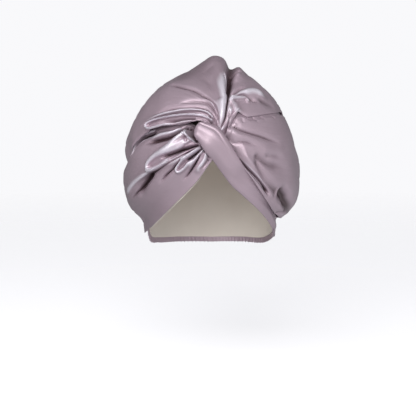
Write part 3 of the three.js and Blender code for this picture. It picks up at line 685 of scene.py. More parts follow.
# %% Crown folds
# name, kind, half width at the root and at the tip, height (mm), share that fades out, line of directions
crown_folds = [
    ("rolled lower edge", "ridge", 1.6, 2.4, 2.2, 0.25,
     [(1.2, 22.9), (-2.8, 25.5), (-8.9, 26.6), (-15.8, 26.4), (-22.7, 25), (-28.3, 23.2),
      (-35.9, 21.3), (-42.6, 20)]),
    ("ring of the lower roll", "lap", 2.2, 2.4, 5.5, 0.12,
     [(-0.1, 27), (-4.3, 28.9), (-9.2, 29.8), (-16.4, 30.1), (-25.4, 29.4), (-34.8, 27.9),
      (-43.2, 25.8), (-47.6, 23.5), (-47, 21.4), (-43, 21), (-36.3, 22.5), (-30.1, 24),
      (-24.3, 25.4)]),
    ("hollow inside the ring", "ridge", 1.5, 2.4, -4.5, 0.5,
     [(-11.8, 27.9), (-18.9, 27.6), (-25.4, 26.7), (-32.3, 25.8), (-39.6, 24.3)]),
    ("dark line over the ring", "crease", 1.2, 2, -5, 0.3,
     [(-0.8, 28.7), (-5, 30.4), (-10.1, 31.4), (-16, 31.8), (-21.3, 31.7), (-27.4, 30.8),
      (-35.3, 29.1), (-43.8, 26.9), (-50.9, 24.1), (-57.9, 20.9)]),
    ("third crest", "lap", 2, 4, 4, 0.3,
     [(0.8, 28.7), (-2.3, 31.5), (-7.4, 33.2), (-14.1, 33.7), (-21.8, 33.4), (-29.6, 32),
      (-39.3, 29.6), (-49.9, 26.2), (-59.5, 22.8)]),
    ("valley over the third crest", "crease", 1.5, 3.2, -4, 0.35,
     [(-5.3, 34.9), (-10.7, 35.7), (-16.1, 35.8), (-22.4, 35.4), (-30.6, 34.5), (-40.7, 32.1),
      (-49.8, 29.4)]),
    ("upper crease", "crease", 1.4, 2.6, -3.8, 0.35,
     [(4.6, 28), (2.5, 33.5), (-0.9, 37.9), (-5.7, 40.2), (-14.8, 40.8), (-22.3, 39.9),
      (-26.7, 37.8)]),
    ("crest over the upper crease", "lap", 2.4, 6, 2.6, 0.6,
     [(3.7, 32.1), (1.7, 37.9), (-1.8, 41.3), (-7.7, 43)]),
    ("knot line one", "crease", 1.2, 1.6, -4.5, 0.5,
     [(3.5, 22.4), (2.7, 27.3), (1, 32.8)]),
    ("knot line two", "crease", 1.1, 1.4, -4, 0.5,
     [(2.6, 22), (0.8, 24.7), (-1.8, 28.1)]),
    ("knot line three", "crease", 1, 1.3, -3.4, 0.5,
     [(1.3, 22.1), (-0.5, 23.9), (-3.1, 26.4)]),
    ("knot line four", "crease", 1.2, 1.8, -3.4, 0.5,
     [(4.9, 24.7), (4.5, 30), (2.6, 36), (0.3, 39.6)]),
    ("long upper line", "crease", 1, 2.4, -4.6, 0.12,
     [(4.8, 31.4), (3.6, 35.7), (0.7, 40.2), (-3.5, 43.5), (-8.1, 45.9), (-15.6, 49.7),
      (-27.9, 52.6), (-42.3, 55), (-59.5, 56.2)]),
    ("high soft line", "ridge", 3.5, 7, -2, 0.6,
     [(6.5, 42.6), (2.9, 52.6), (-8, 61.2), (-29.9, 65.1)]),
    ("roll beside the groove", "ridge", 4.5, 17, 7, 0.4,
     [(6.1, 22.8), (7.2, 28.6), (8.4, 35.7), (9.5, 43.5), (10.7, 52.5), (12.4, 62), (13.3, 72.5),
      (7, 78), (90, 88.3), (173, 77), (177, 62), (178, 44)]),
    ("inner lip line", "crease", 1, 1, -2.2, 0.3,
     [(17.3, 62.5), (15.9, 56.6), (14.5, 50.1), (13.7, 44.3)]),
    ("inner lip", "ridge", 1.1, 1, 1.6, 0.3,
     [(19.2, 63.2), (18, 56.6), (15.7, 49.7)]),
    ("groove by the twist", "crease", 1.1, 1.6, -9, 0.1,
     [(6.7, 22.8), (7.8, 24.9), (9.3, 27.9), (10.5, 32.1), (11.7, 36.4), (13.8, 41.8),
      (15.6, 46.9)]),
    ("groove over the top", "ridge", 2.4, 9, -13, 0.5,
     [(15.1, 46), (19.7, 54.5), (26.7, 62.9), (38.6, 70.6), (41.5, 71), (90, 77.5), (150, 66),
      (163, 48)]),
    ("rolled right edge", "ridge", 2, 2.6, 3.6, 0.25,
     [(7.3, 21.6), (9.9, 23.9), (11.9, 27.6), (13.4, 32), (14.5, 37.9)]),
    ("dimple in the right edge", "ridge", 1.1, 1.1, -2.4, 0,
     [(13, 32.3), (12.7, 29.3)]),
    ("horn", "ridge", 2.6, 9, 6, 0.35,
     [(16.3, 41), (21.8, 43.9), (30.3, 46.8), (39.4, 48), (47.2, 46.7), (50, 43.2), (48.8, 39.1)]),
    ("shade over the horn", "ridge", 2.2, 4, -3, 0.5,
     [(20.3, 47.3), (29.9, 51), (42.2, 53)]),
    ("dark cut under the horn", "crease", 1.4, 3, -7, 0.4,
     [(17.7, 42.6), (22.8, 44.3), (28.4, 45.4), (32, 44.6), (35.9, 42.5), (39.8, 40.5),
      (43, 38.9)]),
    ("small hooked fold", "ridge", 1.6, 2.2, 2.4, 0.2,
     [(15.1, 41), (20.1, 42), (25.8, 42.6), (30.5, 42.9), (31.5, 41.2), (29.1, 38.9)]),
    ("nick under the hooked fold", "crease", 0.9, 0.9, -2.6, 0,
     [(15.7, 40.5), (17.8, 40.1), (20.4, 40.4)]),
    ("flat beside the right edge", "ridge", 6, 7, 3.2, 0.4,
     [(17.3, 38.6), (18.6, 34.2), (19.8, 29.9)]),
    ("valley over the seam", "ridge", 5, 7, -2, 0.4,
     [(47.2, 40.7), (52.7, 38.3), (62, 35.1)]),
    ("crease under the small bump", "ridge", 2.4, 3.4, -4, 0.3,
     [(35.3, 66.6), (44.1, 68.4), (60, 68.9)]),
    ("right wall of the groove", "ridge", 5, 7, -3, 0.3,
     [(19.9, 48.7), (26.2, 56.5), (34.2, 63.8)]),
    ("small bump", "ridge", 7, 11, 3.4, 0.5,
     [(45, 66), (90, 73), (133, 66), (152, 54)]),
]
print(len(crown_folds), "folds")

# %% Crown
edge_roll = {"front": 3.2, "side": 1.0, "right": 2.5}  # mm
right_roll_share = 0.35  # the seamed edge is rolled only a little
nape_from, nape_waves, nape_rise = 0.78, 9, 3


def crown_trim(u, v, from_left, from_right):
    """Its left front edge is a soft roll, the rest is seamed flat, and the nape gathers it in waves."""
    left = mix(edge_roll["front"], edge_roll["side"], beside(u)) / edge_roll["front"]
    edges = left * rolled(from_left, edge_roll["front"])
    edges = edges + right_roll_share * rolled(from_right, edge_roll["right"])
    waves = 0.5 - 0.5 * np.cos(2 * np.pi * nape_waves * v)
    nape = ease((u - nape_from) / (1 - nape_from)) * nape_rise * waves
    return nape - edges - side_lap(u, from_left, 26)


crown_gathers = [  # waves across, drift, depth in mm, then where they start, are full, fade and end
    ((33, 39, 45), 3, 0.18, 0.015, 0.03, 0.05, 0.1),
    ((15, 19, 22), 3, 0.2, 0.05, 0.12, 0.2, 0.34),
    ((6, 8), 1, 0.9, 0.3, 0.5, 0.75, 0.95),
    ((14, 19), 1.5, 1.0, 0.7, 0.92, 0.98, 1.2),
    ((33, 41), 2, 0.7, 0.88, 0.97, 1.1, 1.3),
]
crown = panel("satin_crown", crown_guides, [56, 44, 18, 30, 22, 16, 12], 236,
              crown_folds, crown_trim, crown_gathers, 11)

# %% [markdown]
# ## The left band
# This panel fills the side of the face on the wearer's right, between the crown and the hem. It leaves
# the twist in puffed tongues with one long pleat, and its upper margin is lapped under the crown's roll,
# so a dark gap shows there. The margin really goes under, because a painted gap would look flat.

# %% Left band guides
left_guides = [
    (0, 0.09, 10, [(-6, 22), (-13, 27), (-24, 27), (-48.5, 21.7), (-80, 1.5), (-118, -18), (-149, -43)]),
    (0.33, 0.07, 10, [
        (-4.5, 16), (-10.5, 15), (-19.5, 11.5), (-39, 3.5), (-88, -12), (-120, -29), (-149, -44.5)]),
    (0.66, 0.035, 7, [
        (-2, 10.5), (-7.5, 8.5), (-14.5, 2), (-33, -11.5), (-84, -27), (-118, -38), (-149, -46)]),
    (1, 0.02, 0, [(4, 7), (-1.5, -0.8), (-9, -11), (-30, -29.4), (-86, -49), (-118, -48), (-149, -47.5)]),
]
print(len(left_guides), "guides from under the crown to the hem")

# %% Left band folds
left_folds = [
    ("gap by the knot", "ridge", 2.4, 1.8, -13, 0.2,
     [(-11.8, 25.6), (-12.1, 22.1), (-11.9, 18.3), (-10.3, 15.2), (-8.1, 12.9)]),
    ("pocket behind the crown edge", "ridge", 2.2, 2.6, -12, 0.12,
     [(-44.2, 19.2), (-49.7, 17.4), (-55.2, 15.1), (-59.7, 11.2), (-61.9, 7.1), (-63.5, 1.9)]),
    ("crest under the crown", "ridge", 2, 3.4, 3.4, 0.5,
     [(-22.2, 22.2), (-27.6, 20), (-35, 18.5), (-42.1, 15.9), (-47.9, 12.3)]),
    ("hollow under the crown", "ridge", 2.4, 4, -9, 0.3,
     [(-16, 23.3), (-20.5, 20.7), (-24.3, 18.2), (-29, 15.9), (-35.7, 14.2), (-43.1, 12.5),
      (-50.6, 10.4)]),
    ("crescent", "lap", 1.4, 1.4, 5.5, 0.1,
     [(-15.5, 24.2), (-16.9, 21.4), (-15.8, 18.3), (-12.9, 15.5), (-9.6, 13.5)]),
    ("hollow in the crescent", "ridge", 2, 1.6, -6, 0.1,
     [(-13.8, 23.6), (-13.8, 19.8), (-11.7, 16.2)]),
    ("ring of the large tongue", "ridge", 4.6, 2.2, 6, 0.1,
     [(-18.2, 19.1), (-21.2, 15.7), (-24.9, 11.9), (-29.5, 8.5), (-34.9, 5.1), (-39.7, 1.6),
      (-42.1, -1.6), (-40.6, -4.1), (-35.9, -3.7), (-29.9, -1.2), (-23.6, 2), (-17.8, 5.1),
      (-12.9, 8)]),
    ("body of the large tongue", "tongue", 3, 7, 4, 0.3,
     [(-13.2, 15.2), (-17, 13.3), (-22.6, 9), (-28.5, 5.2), (-35.1, 1.2)]),
    ("slot in the large tongue", "ridge", 1.4, 2.6, -9, 0.25,
     [(-8.7, 11.7), (-12.9, 10.1), (-17.9, 8.5), (-23.1, 6.5), (-27.8, 4.6), (-32.8, 2.6)]),
    ("dimple at the tongue root", "ridge", 1.8, 1.8, -2.4, 0,
     [(-16.9, 16), (-15.5, 14.2)]),
    ("tongue root line", "ridge", 1, 1, 2, 0.1,
     [(-18.5, 19), (-14.6, 16.4), (-11.3, 14.4), (-8.3, 12.4)]),
    ("long pleat", "crease", 1.2, 3.2, -7, 0.12,
     [(-8.3, 10.8), (-12.9, 7.9), (-19.1, 4.4), (-25.6, 0.8), (-32.8, -3.4), (-40.2, -6.9),
      (-44.7, -10.5), (-50.5, -15.3), (-58.9, -20.4), (-72.7, -26.3)]),
    ("crest over the long pleat", "lap", 3.2, 7.5, 4.8, 0.2,
     [(-27, 1.2), (-32.8, -2.1), (-39.3, -5.1), (-46.8, -8.6), (-55.7, -13.2), (-65.6, -18.7),
      (-78.1, -25.2)]),
    ("crest under the long pleat", "ridge", 1.6, 3, 3.6, 0.4,
     [(-7.5, 10.5), (-11.7, 7.1), (-16.5, 4), (-22.2, 0.5), (-28.5, -3.3)]),
    ("hollow under the long pleat", "ridge", 3, 6.5, -5.5, 0.3,
     [(-40.3, -8), (-44.7, -11.7), (-50.8, -16.6), (-59.2, -21.8)]),
    ("ring of the second tongue", "ridge", 2.2, 1.8, 5.4, 0.15,
     [(-6.9, 9.5), (-11.1, 7), (-15.3, 4.1), (-19.1, 0.7), (-21.4, -2.9), (-20.3, -4.8),
      (-17.1, -2.9), (-13.8, 0.7), (-10.6, 4.1)]),
    ("slit in the second tongue", "crease", 1.2, 1.5, -8, 0.25,
     [(-6.1, 9.4), (-9.3, 6.6), (-12.4, 4.1), (-15.1, 1.9)]),
    ("soft line beside the second tongue", "crease", 1.4, 3, -6, 0.4,
     [(-18.4, 2.5), (-21.7, -0.9), (-25.1, -4), (-28.8, -7), (-32.4, -10.4), (-35.8, -13.5)]),
    ("third fold", "ridge", 1.6, 2.8, 4.4, 0.4,
     [(-4.9, 8.9), (-8.6, 4.5), (-12.4, 0.1), (-15.2, -4.1)]),
    ("line under the third fold", "crease", 1.2, 2.4, -6.5, 0.5,
     [(-7, 5.7), (-9.2, 1.9), (-11.6, -1.9), (-14.5, -6), (-17.4, -9.4), (-19.8, -12.6)]),
    ("fourth fold", "ridge", 3, 4.6, 5, 0.4,
     [(-3.1, 6.7), (-4.4, 2.5), (-7.6, -2.8), (-10.8, -7.5)]),
    ("soft line by the hem", "ridge", 1.4, 2.4, -2.8, 0.4,
     [(-2.1, 2.5), (-5.4, -1.9), (-8.7, -4.1)]),
]
print(len(left_folds), "folds")

# %% Left band
lap_tuck = {"left": 7, "right": 2.3, "back": 3.6}  # mm
hem_roll, hem_roll_share = 1.6, 0.5


def under_crown(u, from_left, front, margin, rise):
    """The upper margin lies under the crown's edge and comes up below it."""
    return -mix(front, lap_tuck["back"], beside(u)) * (1 - ease((from_left - margin) / rise))


def left_trim(u, v, from_left, from_right):
    lap = under_crown(u, from_left, lap_tuck["left"], 9, 14) - side_lap(u, from_left - 8, 13)
    return lap - hem_roll_share * rolled(from_right, hem_roll)


left_gathers = [
    ((21, 26, 31), 3, 0.18, 0.02, 0.05, 0.09, 0.2),
    ((9, 12, 15), 3, 0.15, 0.08, 0.2, 0.3, 0.5),
    ((3, 4), 0.6, 0.7, 0.35, 0.55, 0.75, 0.95),
    ((11, 15), 1, 0.9, 0.72, 0.9, 1.1, 1.3),
]
left_band = panel("satin_left_band", left_guides, [56, 62, 50], 236,
                  left_folds, left_trim, left_gathers, 41)

# %% [markdown]
# ## The right band
# On the wearer's left the cloth hangs from a puckered seam under the crown, in soft folds, and its free
# rim rolls in over the ear. Beside the face its lip lies over the strap. Here the folds are wide and
# low, so fewer columns are enough.

# %% Right band guides
right_guides = [
    (0, 0.02, 11, [(7.5, 11), (13.6, 29), (28, 31), (54.5, 33.5), (92, 31), (123, 0), (150, -43)]),
    (0.33, 0.03, 12, [(7.5, 9.5), (18.5, 19), (31, 16), (47.5, 11.5), (91, 10), (122, -15), (150, -44.5)]),
    (0.66, 0.05, 12, [(8.5, 8), (18, 10.5), (29, 4), (45, -5.5), (89, -12), (120, -28), (150, -46)]),
    (1, 0.09, 9, [(9, 13), (17.6, 1.6), (30, -14.2), (47.6, -30.2), (86, -42), (118, -47), (150, -47.5)]),
]
print(len(right_guides), "guides from under the seam to the lip")

# %% Right band folds
right_folds = [
    ("first pucker under the seam", "ridge", 2, 3, -0.8, 0.5,
     [(16, 26.8), (17.8, 24.6), (20.2, 22.2)]),
    ("second pucker", "ridge", 1.8, 2.4, -0.7, 0.5,
     [(22, 27.6), (22.1, 25.2)]),
    ("third pucker", "ridge", 1.8, 2.6, -1, 0.5,
     [(31.1, 29.2), (32.6, 27.3), (35.2, 25.3)]),
    ("fourth pucker", "ridge", 1.8, 2.6, -1, 0.5,
     [(38, 29.9), (39.6, 28.2), (41.9, 26.5)]),
    ("fifth pucker", "ridge", 1.1, 1.8, -1.2, 0.5,
     [(50, 30), (51.4, 27)]),
    ("upper valley", "crease", 1.8, 4.6, -5, 0.35,
     [(15.1, 23.1), (18.9, 21), (22.9, 19.6), (27, 18.3), (32.8, 16.8), (38.9, 14.8), (45.7, 12.7),
      (51.5, 10.6)]),
    ("upper roll", "ridge", 4, 5, 1, 0.5,
     [(10.2, 21.5), (16.5, 18), (22.4, 16.3), (29.2, 14.3), (36.6, 11.8)]),
    ("middle valley", "crease", 2.2, 3.6, -3.4, 0.4,
     [(10.9, 16.7), (14.6, 13.1), (18, 13.3), (22.7, 13.1), (27.4, 11.6), (33, 9.2)]),
    ("side valley", "ridge", 4, 7, -4.5, 0.5,
     [(29.7, 4.1), (35.6, 0.3), (42.3, -2.2), (49.2, -3.6), (60.5, -6.7)]),
    ("side roll", "ridge", 5, 8, 1.2, 0.4,
     [(36, 7.9), (44.6, 7.1), (55.5, 6.9)]),
    ("high side valley", "ridge", 3.4, 4.4, -2.2, 0.5,
     [(37.3, 4.2), (44.3, 4), (53.6, 2.6)]),
    ("valley behind the lip", "ridge", 3.6, 6, -4.5, 0.1,
     [(28.9, 0.3), (32.4, -5.7), (36.7, -11.5), (42.3, -16.2), (49.7, -19.9)]),
    ("dimple over the ear", "ridge", 7.5, 8, -11, 0.55,
     [(53.9, -20.6), (60.2, -24.6), (65.4, -28.4), (78, -33), (90, -37)]),
    ("roll along the lip", "ridge", 5, 4, 2, 0.1,
     [(12.2, 13.4), (17.6, 7.5), (24, 1.4), (29.7, -4.3), (35.3, -10.9), (41.2, -17.2),
      (45.1, -22.3)]),
    ("slit over the strap", "ridge", 1, 2.2, -7, 0.2,
     [(18.1, 2.3), (21.1, -0.9), (24.1, -4.3), (28.4, -8.5), (33.2, -13.1), (37.8, -17.6),
      (41.1, -21)]),
    ("line beside the knot", "crease", 1.2, 1.6, -1.4, 0.3,
     [(8.5, 20.3), (10.2, 16.5), (12.4, 12.2)]),
    ("low bag fold", "ridge", 2, 2, -2, 0.2,
     [(68.9, -33.1), (59, -33.8), (55.6, -35)]),
]
print(len(right_folds), "folds")

# %% Right band
rim_depth, rim_width, rim_span = 7, 13, (0.2, 0.4, 0.55, 0.75)


def right_trim(u, v, from_left, from_right):
    """Under the crown's seam it is tucked a little, and over the ear its free rim turns in."""
    rim = rim_depth * between(u, *rim_span) * (1 - ease(from_right / rim_width))
    margin = mix(5, 12, ease((u - 0.5) / 0.2))
    tucked = under_crown(u, from_left, lap_tuck["right"], margin, 5)
    return tucked - rim - hem_roll_share * rolled(from_right, hem_roll)


right_gathers = [
    ((19, 24, 29), 3, 0.1, 0.02, 0.05, 0.09, 0.2),
    ((7, 9, 12), 3, 0.15, 0.08, 0.2, 0.3, 0.5),
    ((3, 4), 0.6, 0.7, 0.35, 0.55, 0.75, 0.95),
    ((10, 15), 1, 0.9, 0.72, 0.9, 1.1, 1.3),
]
right_band = panel("satin_right_band", right_guides, [52, 46, 50], 210,
                   right_folds, right_trim, right_gathers, 71)

# %% [markdown]
# ## The strap of the twist
# A smooth strap, folded double, comes up out of the knot as a rounded loop and runs down beside the face
# as the hem. Its section is an arc, its edges curl under, and at the loop the sections turn over until
# they face back into the knot. A bent tube would be too round, so it is swept from its own sections.

# %% Strap sections
strap_sections = [  # lower edge, upper edge (azimuth, elevation, distance), dome between them
    ((-9, 15.5, 112), (-5.6, 25.8, 112), 6),
    ((-4, 8.1, 111), (4.6, 22.2, 113), 7),
    ((1, 2.2, 105), (10.6, 14, 113), 6),
    ((7.6, -6.9, 102), (18, 2, 110.5), 4.5),
    ((14.4, -15.3, 102), (24, -4, 105), 3.5),
    ((24.2, -23.2, 103), (33, -11.5, 105), 3),
    ((40, -33.6, 107), (45, -22.5, 104), 2.5),
    ((61, -44, 113), (58, -34, 105), 2),
    ((78, -49.5, 122), (77, -42.5, 110), 1.5),
    ((96.8, -52, 127.5), (96.8, -43, 108), 1),
]
strap_wall = 1.4
strap_rows, loop_rows, strap_columns = 150, 26, 72
loop_turn = (130, 5)  # degrees that the sections have turned over, first and last row of the loop
loop_curl, strap_curl, uncurled_at = 144, 104, 0.35  # half angle of the section, and where it opens


def along_strap(values, u):
    return smooth_through(np.linspace(0, 1, len(strap_sections)), values, u)


def strap_edge(which, u):
    points = np.array([point_at(unit(s[which][0], s[which][1]), s[which][2]) for s in strap_sections])
    return along_strap(points, u)


print("strap starts at", strap_edge(0, 0.0).round(1), "and ends at", strap_edge(0, 1.0).round(1))

# %% Strap
def strap_relief(u, side):
    """Long soft folds of the strap: side runs from -1 at its lower edge to 1 at its upper edge."""
    def fold(at, width, height, start, end):
        here = between(u, start, start + 0.06, end - 0.08, end)
        return height * np.exp(-(((side - at) / width) ** 2)) * here

    upper_lip = fold(0.8, 0.1, 0.5, -0.1, 0.3) + fold(0.62, 0.08, -0.4, -0.1, 0.3)
    second_line = fold(mix(0.66, 0.42, ease((u - 0.45) / 0.4)), 0.06, -0.5, 0.7, 0.95)
    soft = 0.35 * np.sin(3.1 * side + 9 * u) + 0.25 * np.sin(7 * side - 14 * u + 1)
    return upper_lip + second_line + soft


def strap():
    """Rows of the loop, which turn over at u 0, then rows along the strap."""
    u = np.concatenate([np.zeros(loop_rows), (np.arange(strap_rows + 1) / strap_rows) ** 1.2])
    turn = np.radians(np.concatenate([np.linspace(*loop_turn, loop_rows), np.zeros(strap_rows + 1)]))
    low, high = strap_edge(0, u), strap_edge(1, u)
    middle, half = (low + high) / 2, (high - low) / 2
    out = middle - heart
    out -= half * ((out * half).sum(-1) / (half * half).sum(-1))[:, None]
    out /= np.linalg.norm(out, axis=-1, keepdims=True)
    back = np.cross(out, half)
    back /= np.linalg.norm(back, axis=-1, keepdims=True)
    rise = out * np.cos(turn)[:, None] + back * np.sin(turn)[:, None]
    dome = along_strap([s[2] for s in strap_sections], u)
    closed = mix(loop_curl, strap_curl, ease(u / uncurled_at))
    curl = np.radians(closed[:, None] * np.linspace(-1, 1, strap_columns + 1))
    side = np.sin(curl)[..., None]
    up = (dome[:, None] * np.cos(curl))[..., None]
    relief = strap_relief(u[:, None], np.sin(curl)) * (np.cos(curl) > 0)
    fade = np.clip(np.cos(turn), 0, 1)[:, None]
    places = middle[:, None] + half[:, None] * side + rise[:, None] * (up + (relief * fade)[..., None])
    return make_sheet("satin_twist_wrap", places, relief, strap_wall)


twist_wrap = strap()

# %% [markdown]
# ## The nape elastic
# Behind, an elastic in a casing draws the opening in. The casing is narrow and shirred: its cloth is
# pushed together along the elastic into close even ripples, with a stitch line near each edge. The
# ripples are modelled and not only painted, since they show at the outline from behind.

# %% Nape band
nape_span = {"from": 96, "to": 272, "top": -43}
nape_wall = 1.5
nape_rows, nape_columns = 420, 26
stitch_lines, stitch_width, stitch_pinch = (0.14, 0.86), 0.05, 0.7
casing_puff, ripple_height = 1.1, 0.75  # mm


def nape():
    s, t = np.meshgrid(np.linspace(0, 1, nape_rows + 1), np.linspace(0, 1, nape_columns + 1), indexing="ij")
    around = mix(nape_span["from"], nape_span["to"], s)
    azimuth = np.where(around > 180, around - 360, around)
    d = unit(azimuth, mix(nape_span["top"], line_at(opening_line, azimuth), t))
    wave = wander(s, s, (44, 47), 0.0, 5) * 0.5 + 0.5 * wander(s, t * 0.06 + s, (61,), 0.4, 8)
    stitched = 1
    for line in stitch_lines:
        stitched = stitched - stitch_pinch * np.exp(-(((t - line) / stitch_width) ** 2))
    puff = casing_puff * np.sin(np.pi * np.clip((t - 0.1) / 0.8, 0, 1)) ** 0.7
    begun = ease(s / 0.05) * ease((1 - s) / 0.05)
    height = (ripple_height * wave * begun + 0.4) * stitched * (0.35 + 0.3 * t) + puff
    places = point_at(d, head_radius(d) + nape_wall + height)
    return make_sheet("satin_nape_band", places, height, nape_wall)


nape_band = nape()

# %% [markdown]
# ## The lining
# Inside sits a pale cap that keeps the hair from rubbing. It shows as a thin edge along the hem on the
# left of the face, and its inside is seen through the opening. It is a grid closed into a ring and drawn
# together at the top, with a few soft pleats towards that point, as a sewn cap has.

# %% Lining
lining_wall = 1.2
lining_rows, lining_columns = 84, 168
edge_shows = (-88, -74, -6, 2)  # azimuths between which the lining's edge peeps out under the hem
edge_above, edge_below = 1.2, -0.9  # degrees over and under the edge of the opening
pleat_count, pleat_height = 14, 0.55


def lining_cap():
    i, j = np.meshgrid(
        np.linspace(0, 1, lining_rows + 1), np.linspace(-180, 180, lining_columns + 1), indexing="ij")
    edge = line_at(opening_line, j) + mix(edge_above, edge_below, between(j, *edge_shows))
    d = unit(j, mix(edge, 90, i))
    turns = np.radians(j) * pleat_count + 0.6 * np.sin(np.radians(3 * j))
    pleats = pleat_height * np.cos(turns) * between(i, 0.25, 0.8, 0.94, 1.0)
    soft = hang(point_at(d, head_radius(d)), 0.35, 97, 30) * between(i, 0.06, 0.3, 0.9, 1.0)
    relief = -np.abs(pleats) + np.minimum(soft, 0)
    places = point_at(d, head_radius(d) - clearance + relief)
    places[-1] = places[-1].mean(0)
    places[:, -1] = places[:, 0]
    return make_sheet("satin_lining", places, relief, lining_wall, closed=True)


lining = lining_cap()

# %% [markdown]
# ## Satin
# Satin has long floating threads on its face, so it mirrors light along them and looks soft across. At
# the scale of a hand three things show: fine threads, faint creases from wear, and a colour that shifts
# a little at random. Light is painted into that colour as well: a painted highlight on crests and painted
# shade deep in folds. Each is a node group used by both satins with its own values.

# %% Helpers for node groups
def group(name, given, made):
    """An empty group of shader nodes. given and made name its inputs and outputs, each with its kind."""
    tree = bpy.data.node_groups.new(name, "ShaderNodeTree")
    for side, sockets in (("INPUT", given), ("OUTPUT", made)):
        for label, kind in sockets.items():
            tree.interface.new_socket(label, in_out=side, socket_type="NodeSocket" + kind)
    return tree, tree.nodes.new("NodeGroupInput").outputs, tree.nodes.new("NodeGroupOutput")


def use(tree, made, values):
    """Outputs of a node that uses a group."""
    user = node(tree, "Group")
    user.node_tree = made
    return plug(tree, user, values).outputs


def blend(tree, factor, a, b):
    """Colour a where factor is 0 and b where it is 1."""
    made = node(tree, "Mix")
    made.data_type = "RGBA"
    return plug(tree, made, {"Factor": factor, "A": a, "B": b}).outputs["Result"]


print("node groups so far:", len(bpy.data.node_groups))

# %% Threads
full_turn = 6.283
float_lean = 0.2  # how much a float moves sideways for each thread that it passes
rib_share, float_share = 0.6, 0.4


def thread_group():
    """Height of satin threads: long floats along the folds, with short rows across them."""
    tree, given, out = group("satin threads", {"Cloth": "Vector", "Thread": "Float"}, {"Height": "Float"})
    split = node(tree, "SeparateXYZ", {0: given["Cloth"]}).outputs
    warp = calculate(tree, "DIVIDE", split["X"], given["Thread"])
    weft = calculate(tree, "DIVIDE", split["Y"], given["Thread"])
    step = calculate(tree, "ADD", calculate(tree, "MULTIPLY", weft, float_lean), warp)
    ribs = calculate(tree, "SINE", calculate(tree, "MULTIPLY", warp, full_turn))
    floats = calculate(tree, "SINE", calculate(tree, "MULTIPLY", step, full_turn))
    low = calculate(tree, "MULTIPLY", floats, float_share)
    plug(tree, out, {"Height": calculate(tree, "ADD", calculate(tree, "MULTIPLY", ribs, rib_share), low)})
    return tree


threads = thread_group()
print(threads.name, len(threads.nodes), "nodes")

# %% Wear creases
crease_noises = [(1.0, 2.0), (2.7, 1.0)]  # scale and detail
second_share = 0.35


def crease_group():
    """Height of faint creases, long along the cloth's folds and short across them."""
    given = {"Cloth": "Vector", "Across": "Float", "Along": "Float"}
    tree, given, out = group("wear creases", given, {"Height": "Float"})
    split = node(tree, "SeparateXYZ", {0: given["Cloth"]}).outputs
    across = calculate(tree, "MULTIPLY", split["X"], given["Across"])
    along = calculate(tree, "MULTIPLY", split["Y"], given["Along"])
    stretched = node(tree, "CombineXYZ", {0: across, 1: along}).outputs[0]
    first, second = (
        node(tree, "TexNoise", {"Vector": stretched, "Scale": scale, "Detail": detail, "Distortion": 0.4})
        for scale, detail in crease_noises)
    lower = calculate(tree, "MULTIPLY", second.outputs["Fac"], second_share)
    plug(tree, out, {"Height": calculate(tree, "ADD", first.outputs["Fac"], lower)})
    return tree


creases = crease_group()
print(creases.name, len(creases.nodes), "nodes")

# %% Colour of the cloth
# The first is how much of the darker dye shows in patches, the second how strongly crests get a painted
# highlight.
patch_share, highlight_share = 0.5, 0.85


def dye_and_painted_light_group():
    """Base colour that varies softly at random, with painted highlight that lightens it on crests and painted
    shade that darkens it deep in folds.
    """
    colours = dict.fromkeys(("Painted shade", "Deep", "Middle", "Light"), "Color")
    given = {"Place": "Vector", "Crest": "Float", **colours}
    tree, given, out = group("dyed cloth", given, {"Colour": "Color", "Highlight and gloss": "Float"})
    clouds = node(tree, "TexNoise", {"Vector": given["Place"], "Scale": 26, "Detail": 3})
    patch = spread(tree, clouds.outputs["Fac"], 0.35, 0.65)
    # Painted highlight: the highest crests are lightened towards the Light colour, and the same mask makes
    # them glossier.
    highlight_and_gloss = spread(tree, given["Crest"], 0.8, 2.8)
    # Painted shade: points deep in folds are darkened towards the darkest colour.
    painted_shade_mask = spread(tree, given["Crest"], -0.6, -4.4)
    base = blend(tree, calculate(tree, "MULTIPLY", patch, patch_share), given["Middle"], given["Deep"])
    overlay = blend(tree, calculate(tree, "MULTIPLY", highlight_and_gloss, highlight_share), base, given["Light"])
    plug(tree, out, {"Colour": blend(tree, painted_shade_mask, overlay, given["Painted shade"]), "Highlight and gloss": highlight_and_gloss})
    return tree


dye_and_painted_light = dye_and_painted_light_group()
print(dye_and_painted_light.name, len(dye_and_painted_light.nodes), "nodes")

# %% [markdown]
# ## The two satins
# The outside is mauve and glossy, the cap inside is a pale beige with less gloss. Satin throws back part
# of the light in its own colour, as metal does, so a share of Metallic does what clear gloss alone
# cannot. The gloss is a little uneven, sharper on crests that are rubbed smooth.

# %% Satin function
thread_size = 0.0003  # metres
creases_across, creases_along = 70.0, 22.0  # for each metre
gloss_range = 0.03


def colour(red, green, blue):
    """A colour as a screen shows it, 0 to 255, made linear."""
    return tuple(((c / 255 + 0.055) / 1.055) ** 2.4 for c in (red, green, blue)) + (1,)


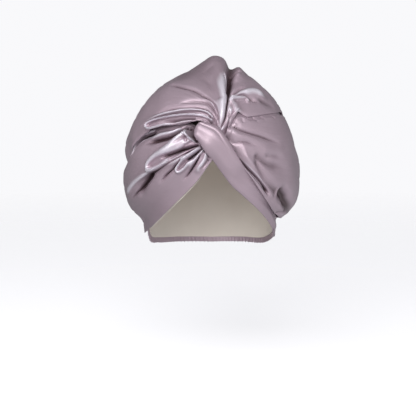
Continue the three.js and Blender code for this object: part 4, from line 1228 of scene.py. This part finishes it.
def satin(name, tones, gloss, metallic, sheen, coat):
    """A satin in four colours: painted shade in deep hollows, its dye in patches and on the level, and a
    painted highlight on crests.
    """
    material = bpy.data.materials.new(name)
    material.use_nodes = True
    tree = material.node_tree
    place = node(tree, "TexCoord").outputs
    height = node(tree, "Attribute")
    height.attribute_name = "crest"
    hollow, deep, middle, light = (colour(*tone) for tone in tones)
    coloured = use(tree, dye_and_painted_light, {
        "Place": place["Object"], "Crest": height.outputs["Fac"],
        "Painted shade": hollow, "Deep": deep, "Middle": middle, "Light": light})
    weave = use(tree, threads, {"Cloth": place["UV"], "Thread": thread_size})
    overlay = use(tree, creases, {"Cloth": place["UV"], "Across": creases_across, "Along": creases_along})
    soft = node(tree, "Bump", {"Height": overlay["Height"], "Distance": 0.0002, "Strength": 0.09})
    fine = node(tree, "Bump", {
        "Height": weave["Height"], "Distance": 0.00002, "Strength": 0.5, "Normal": soft.outputs["Normal"]})
    plug(tree, tree.nodes["Principled BSDF"], {
        "Base Color": coloured["Colour"],
        "Normal": fine.outputs["Normal"],
        "Roughness": spread(tree, coloured["Highlight and gloss"], 0, 1, gloss + gloss_range, gloss - gloss_range),
        "Metallic": metallic,
        "Coat Weight": coat,
        "Specular Tint": (0.6, 0.52, 0.56, 1),
        "Coat Roughness": 0.3,
        "Anisotropic": 0.35,
        "Sheen Weight": sheen,
        "Sheen Roughness": 0.4,
    })
    return material


print("middle grey made linear:", round(colour(128, 128, 128)[0], 3))

# %% The two materials
# Each satin's first colour is painted shade for deep hollows and its last a painted highlight for crests; the
# two between are its dye.
mauve = satin("mauve satin", [(74, 54, 60), (162, 143, 154), (174, 155, 167), (228, 222, 233)],
              gloss=0.48, metallic=0.42, sheen=0.03, coat=0.55)
beige = satin("beige lining satin", [(190, 180, 170), (214, 205, 196), (225, 217, 208), (232, 226, 219)],
              gloss=0.5, metallic=0.0, sheen=0.1, coat=0.1)
for cloth in (crown, left_band, right_band, twist_wrap, nape_band):
    cloth.data.materials.append(mauve)
lining.data.materials.append(beige)
print("materials", mauve.name, beige.name)

# %% [markdown]
# ## Joining the frame
# Each sheet rides on the frame's one body and stands for the plain solid under it, which is hidden.

# %% Ride and replace
def declare(cloth, node):
    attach(cloth, "root")
    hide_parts(node)


declare(crown, "crown")
declare(left_band, "left_band")
declare(right_band, "right_band")
declare(twist_wrap, "twist_wrap")
declare(nape_band, "nape_band")
declare(lining, "lining")
print("on the root:", *(cloth.name for cloth in (crown, left_band, right_band, twist_wrap, nape_band, lining)))
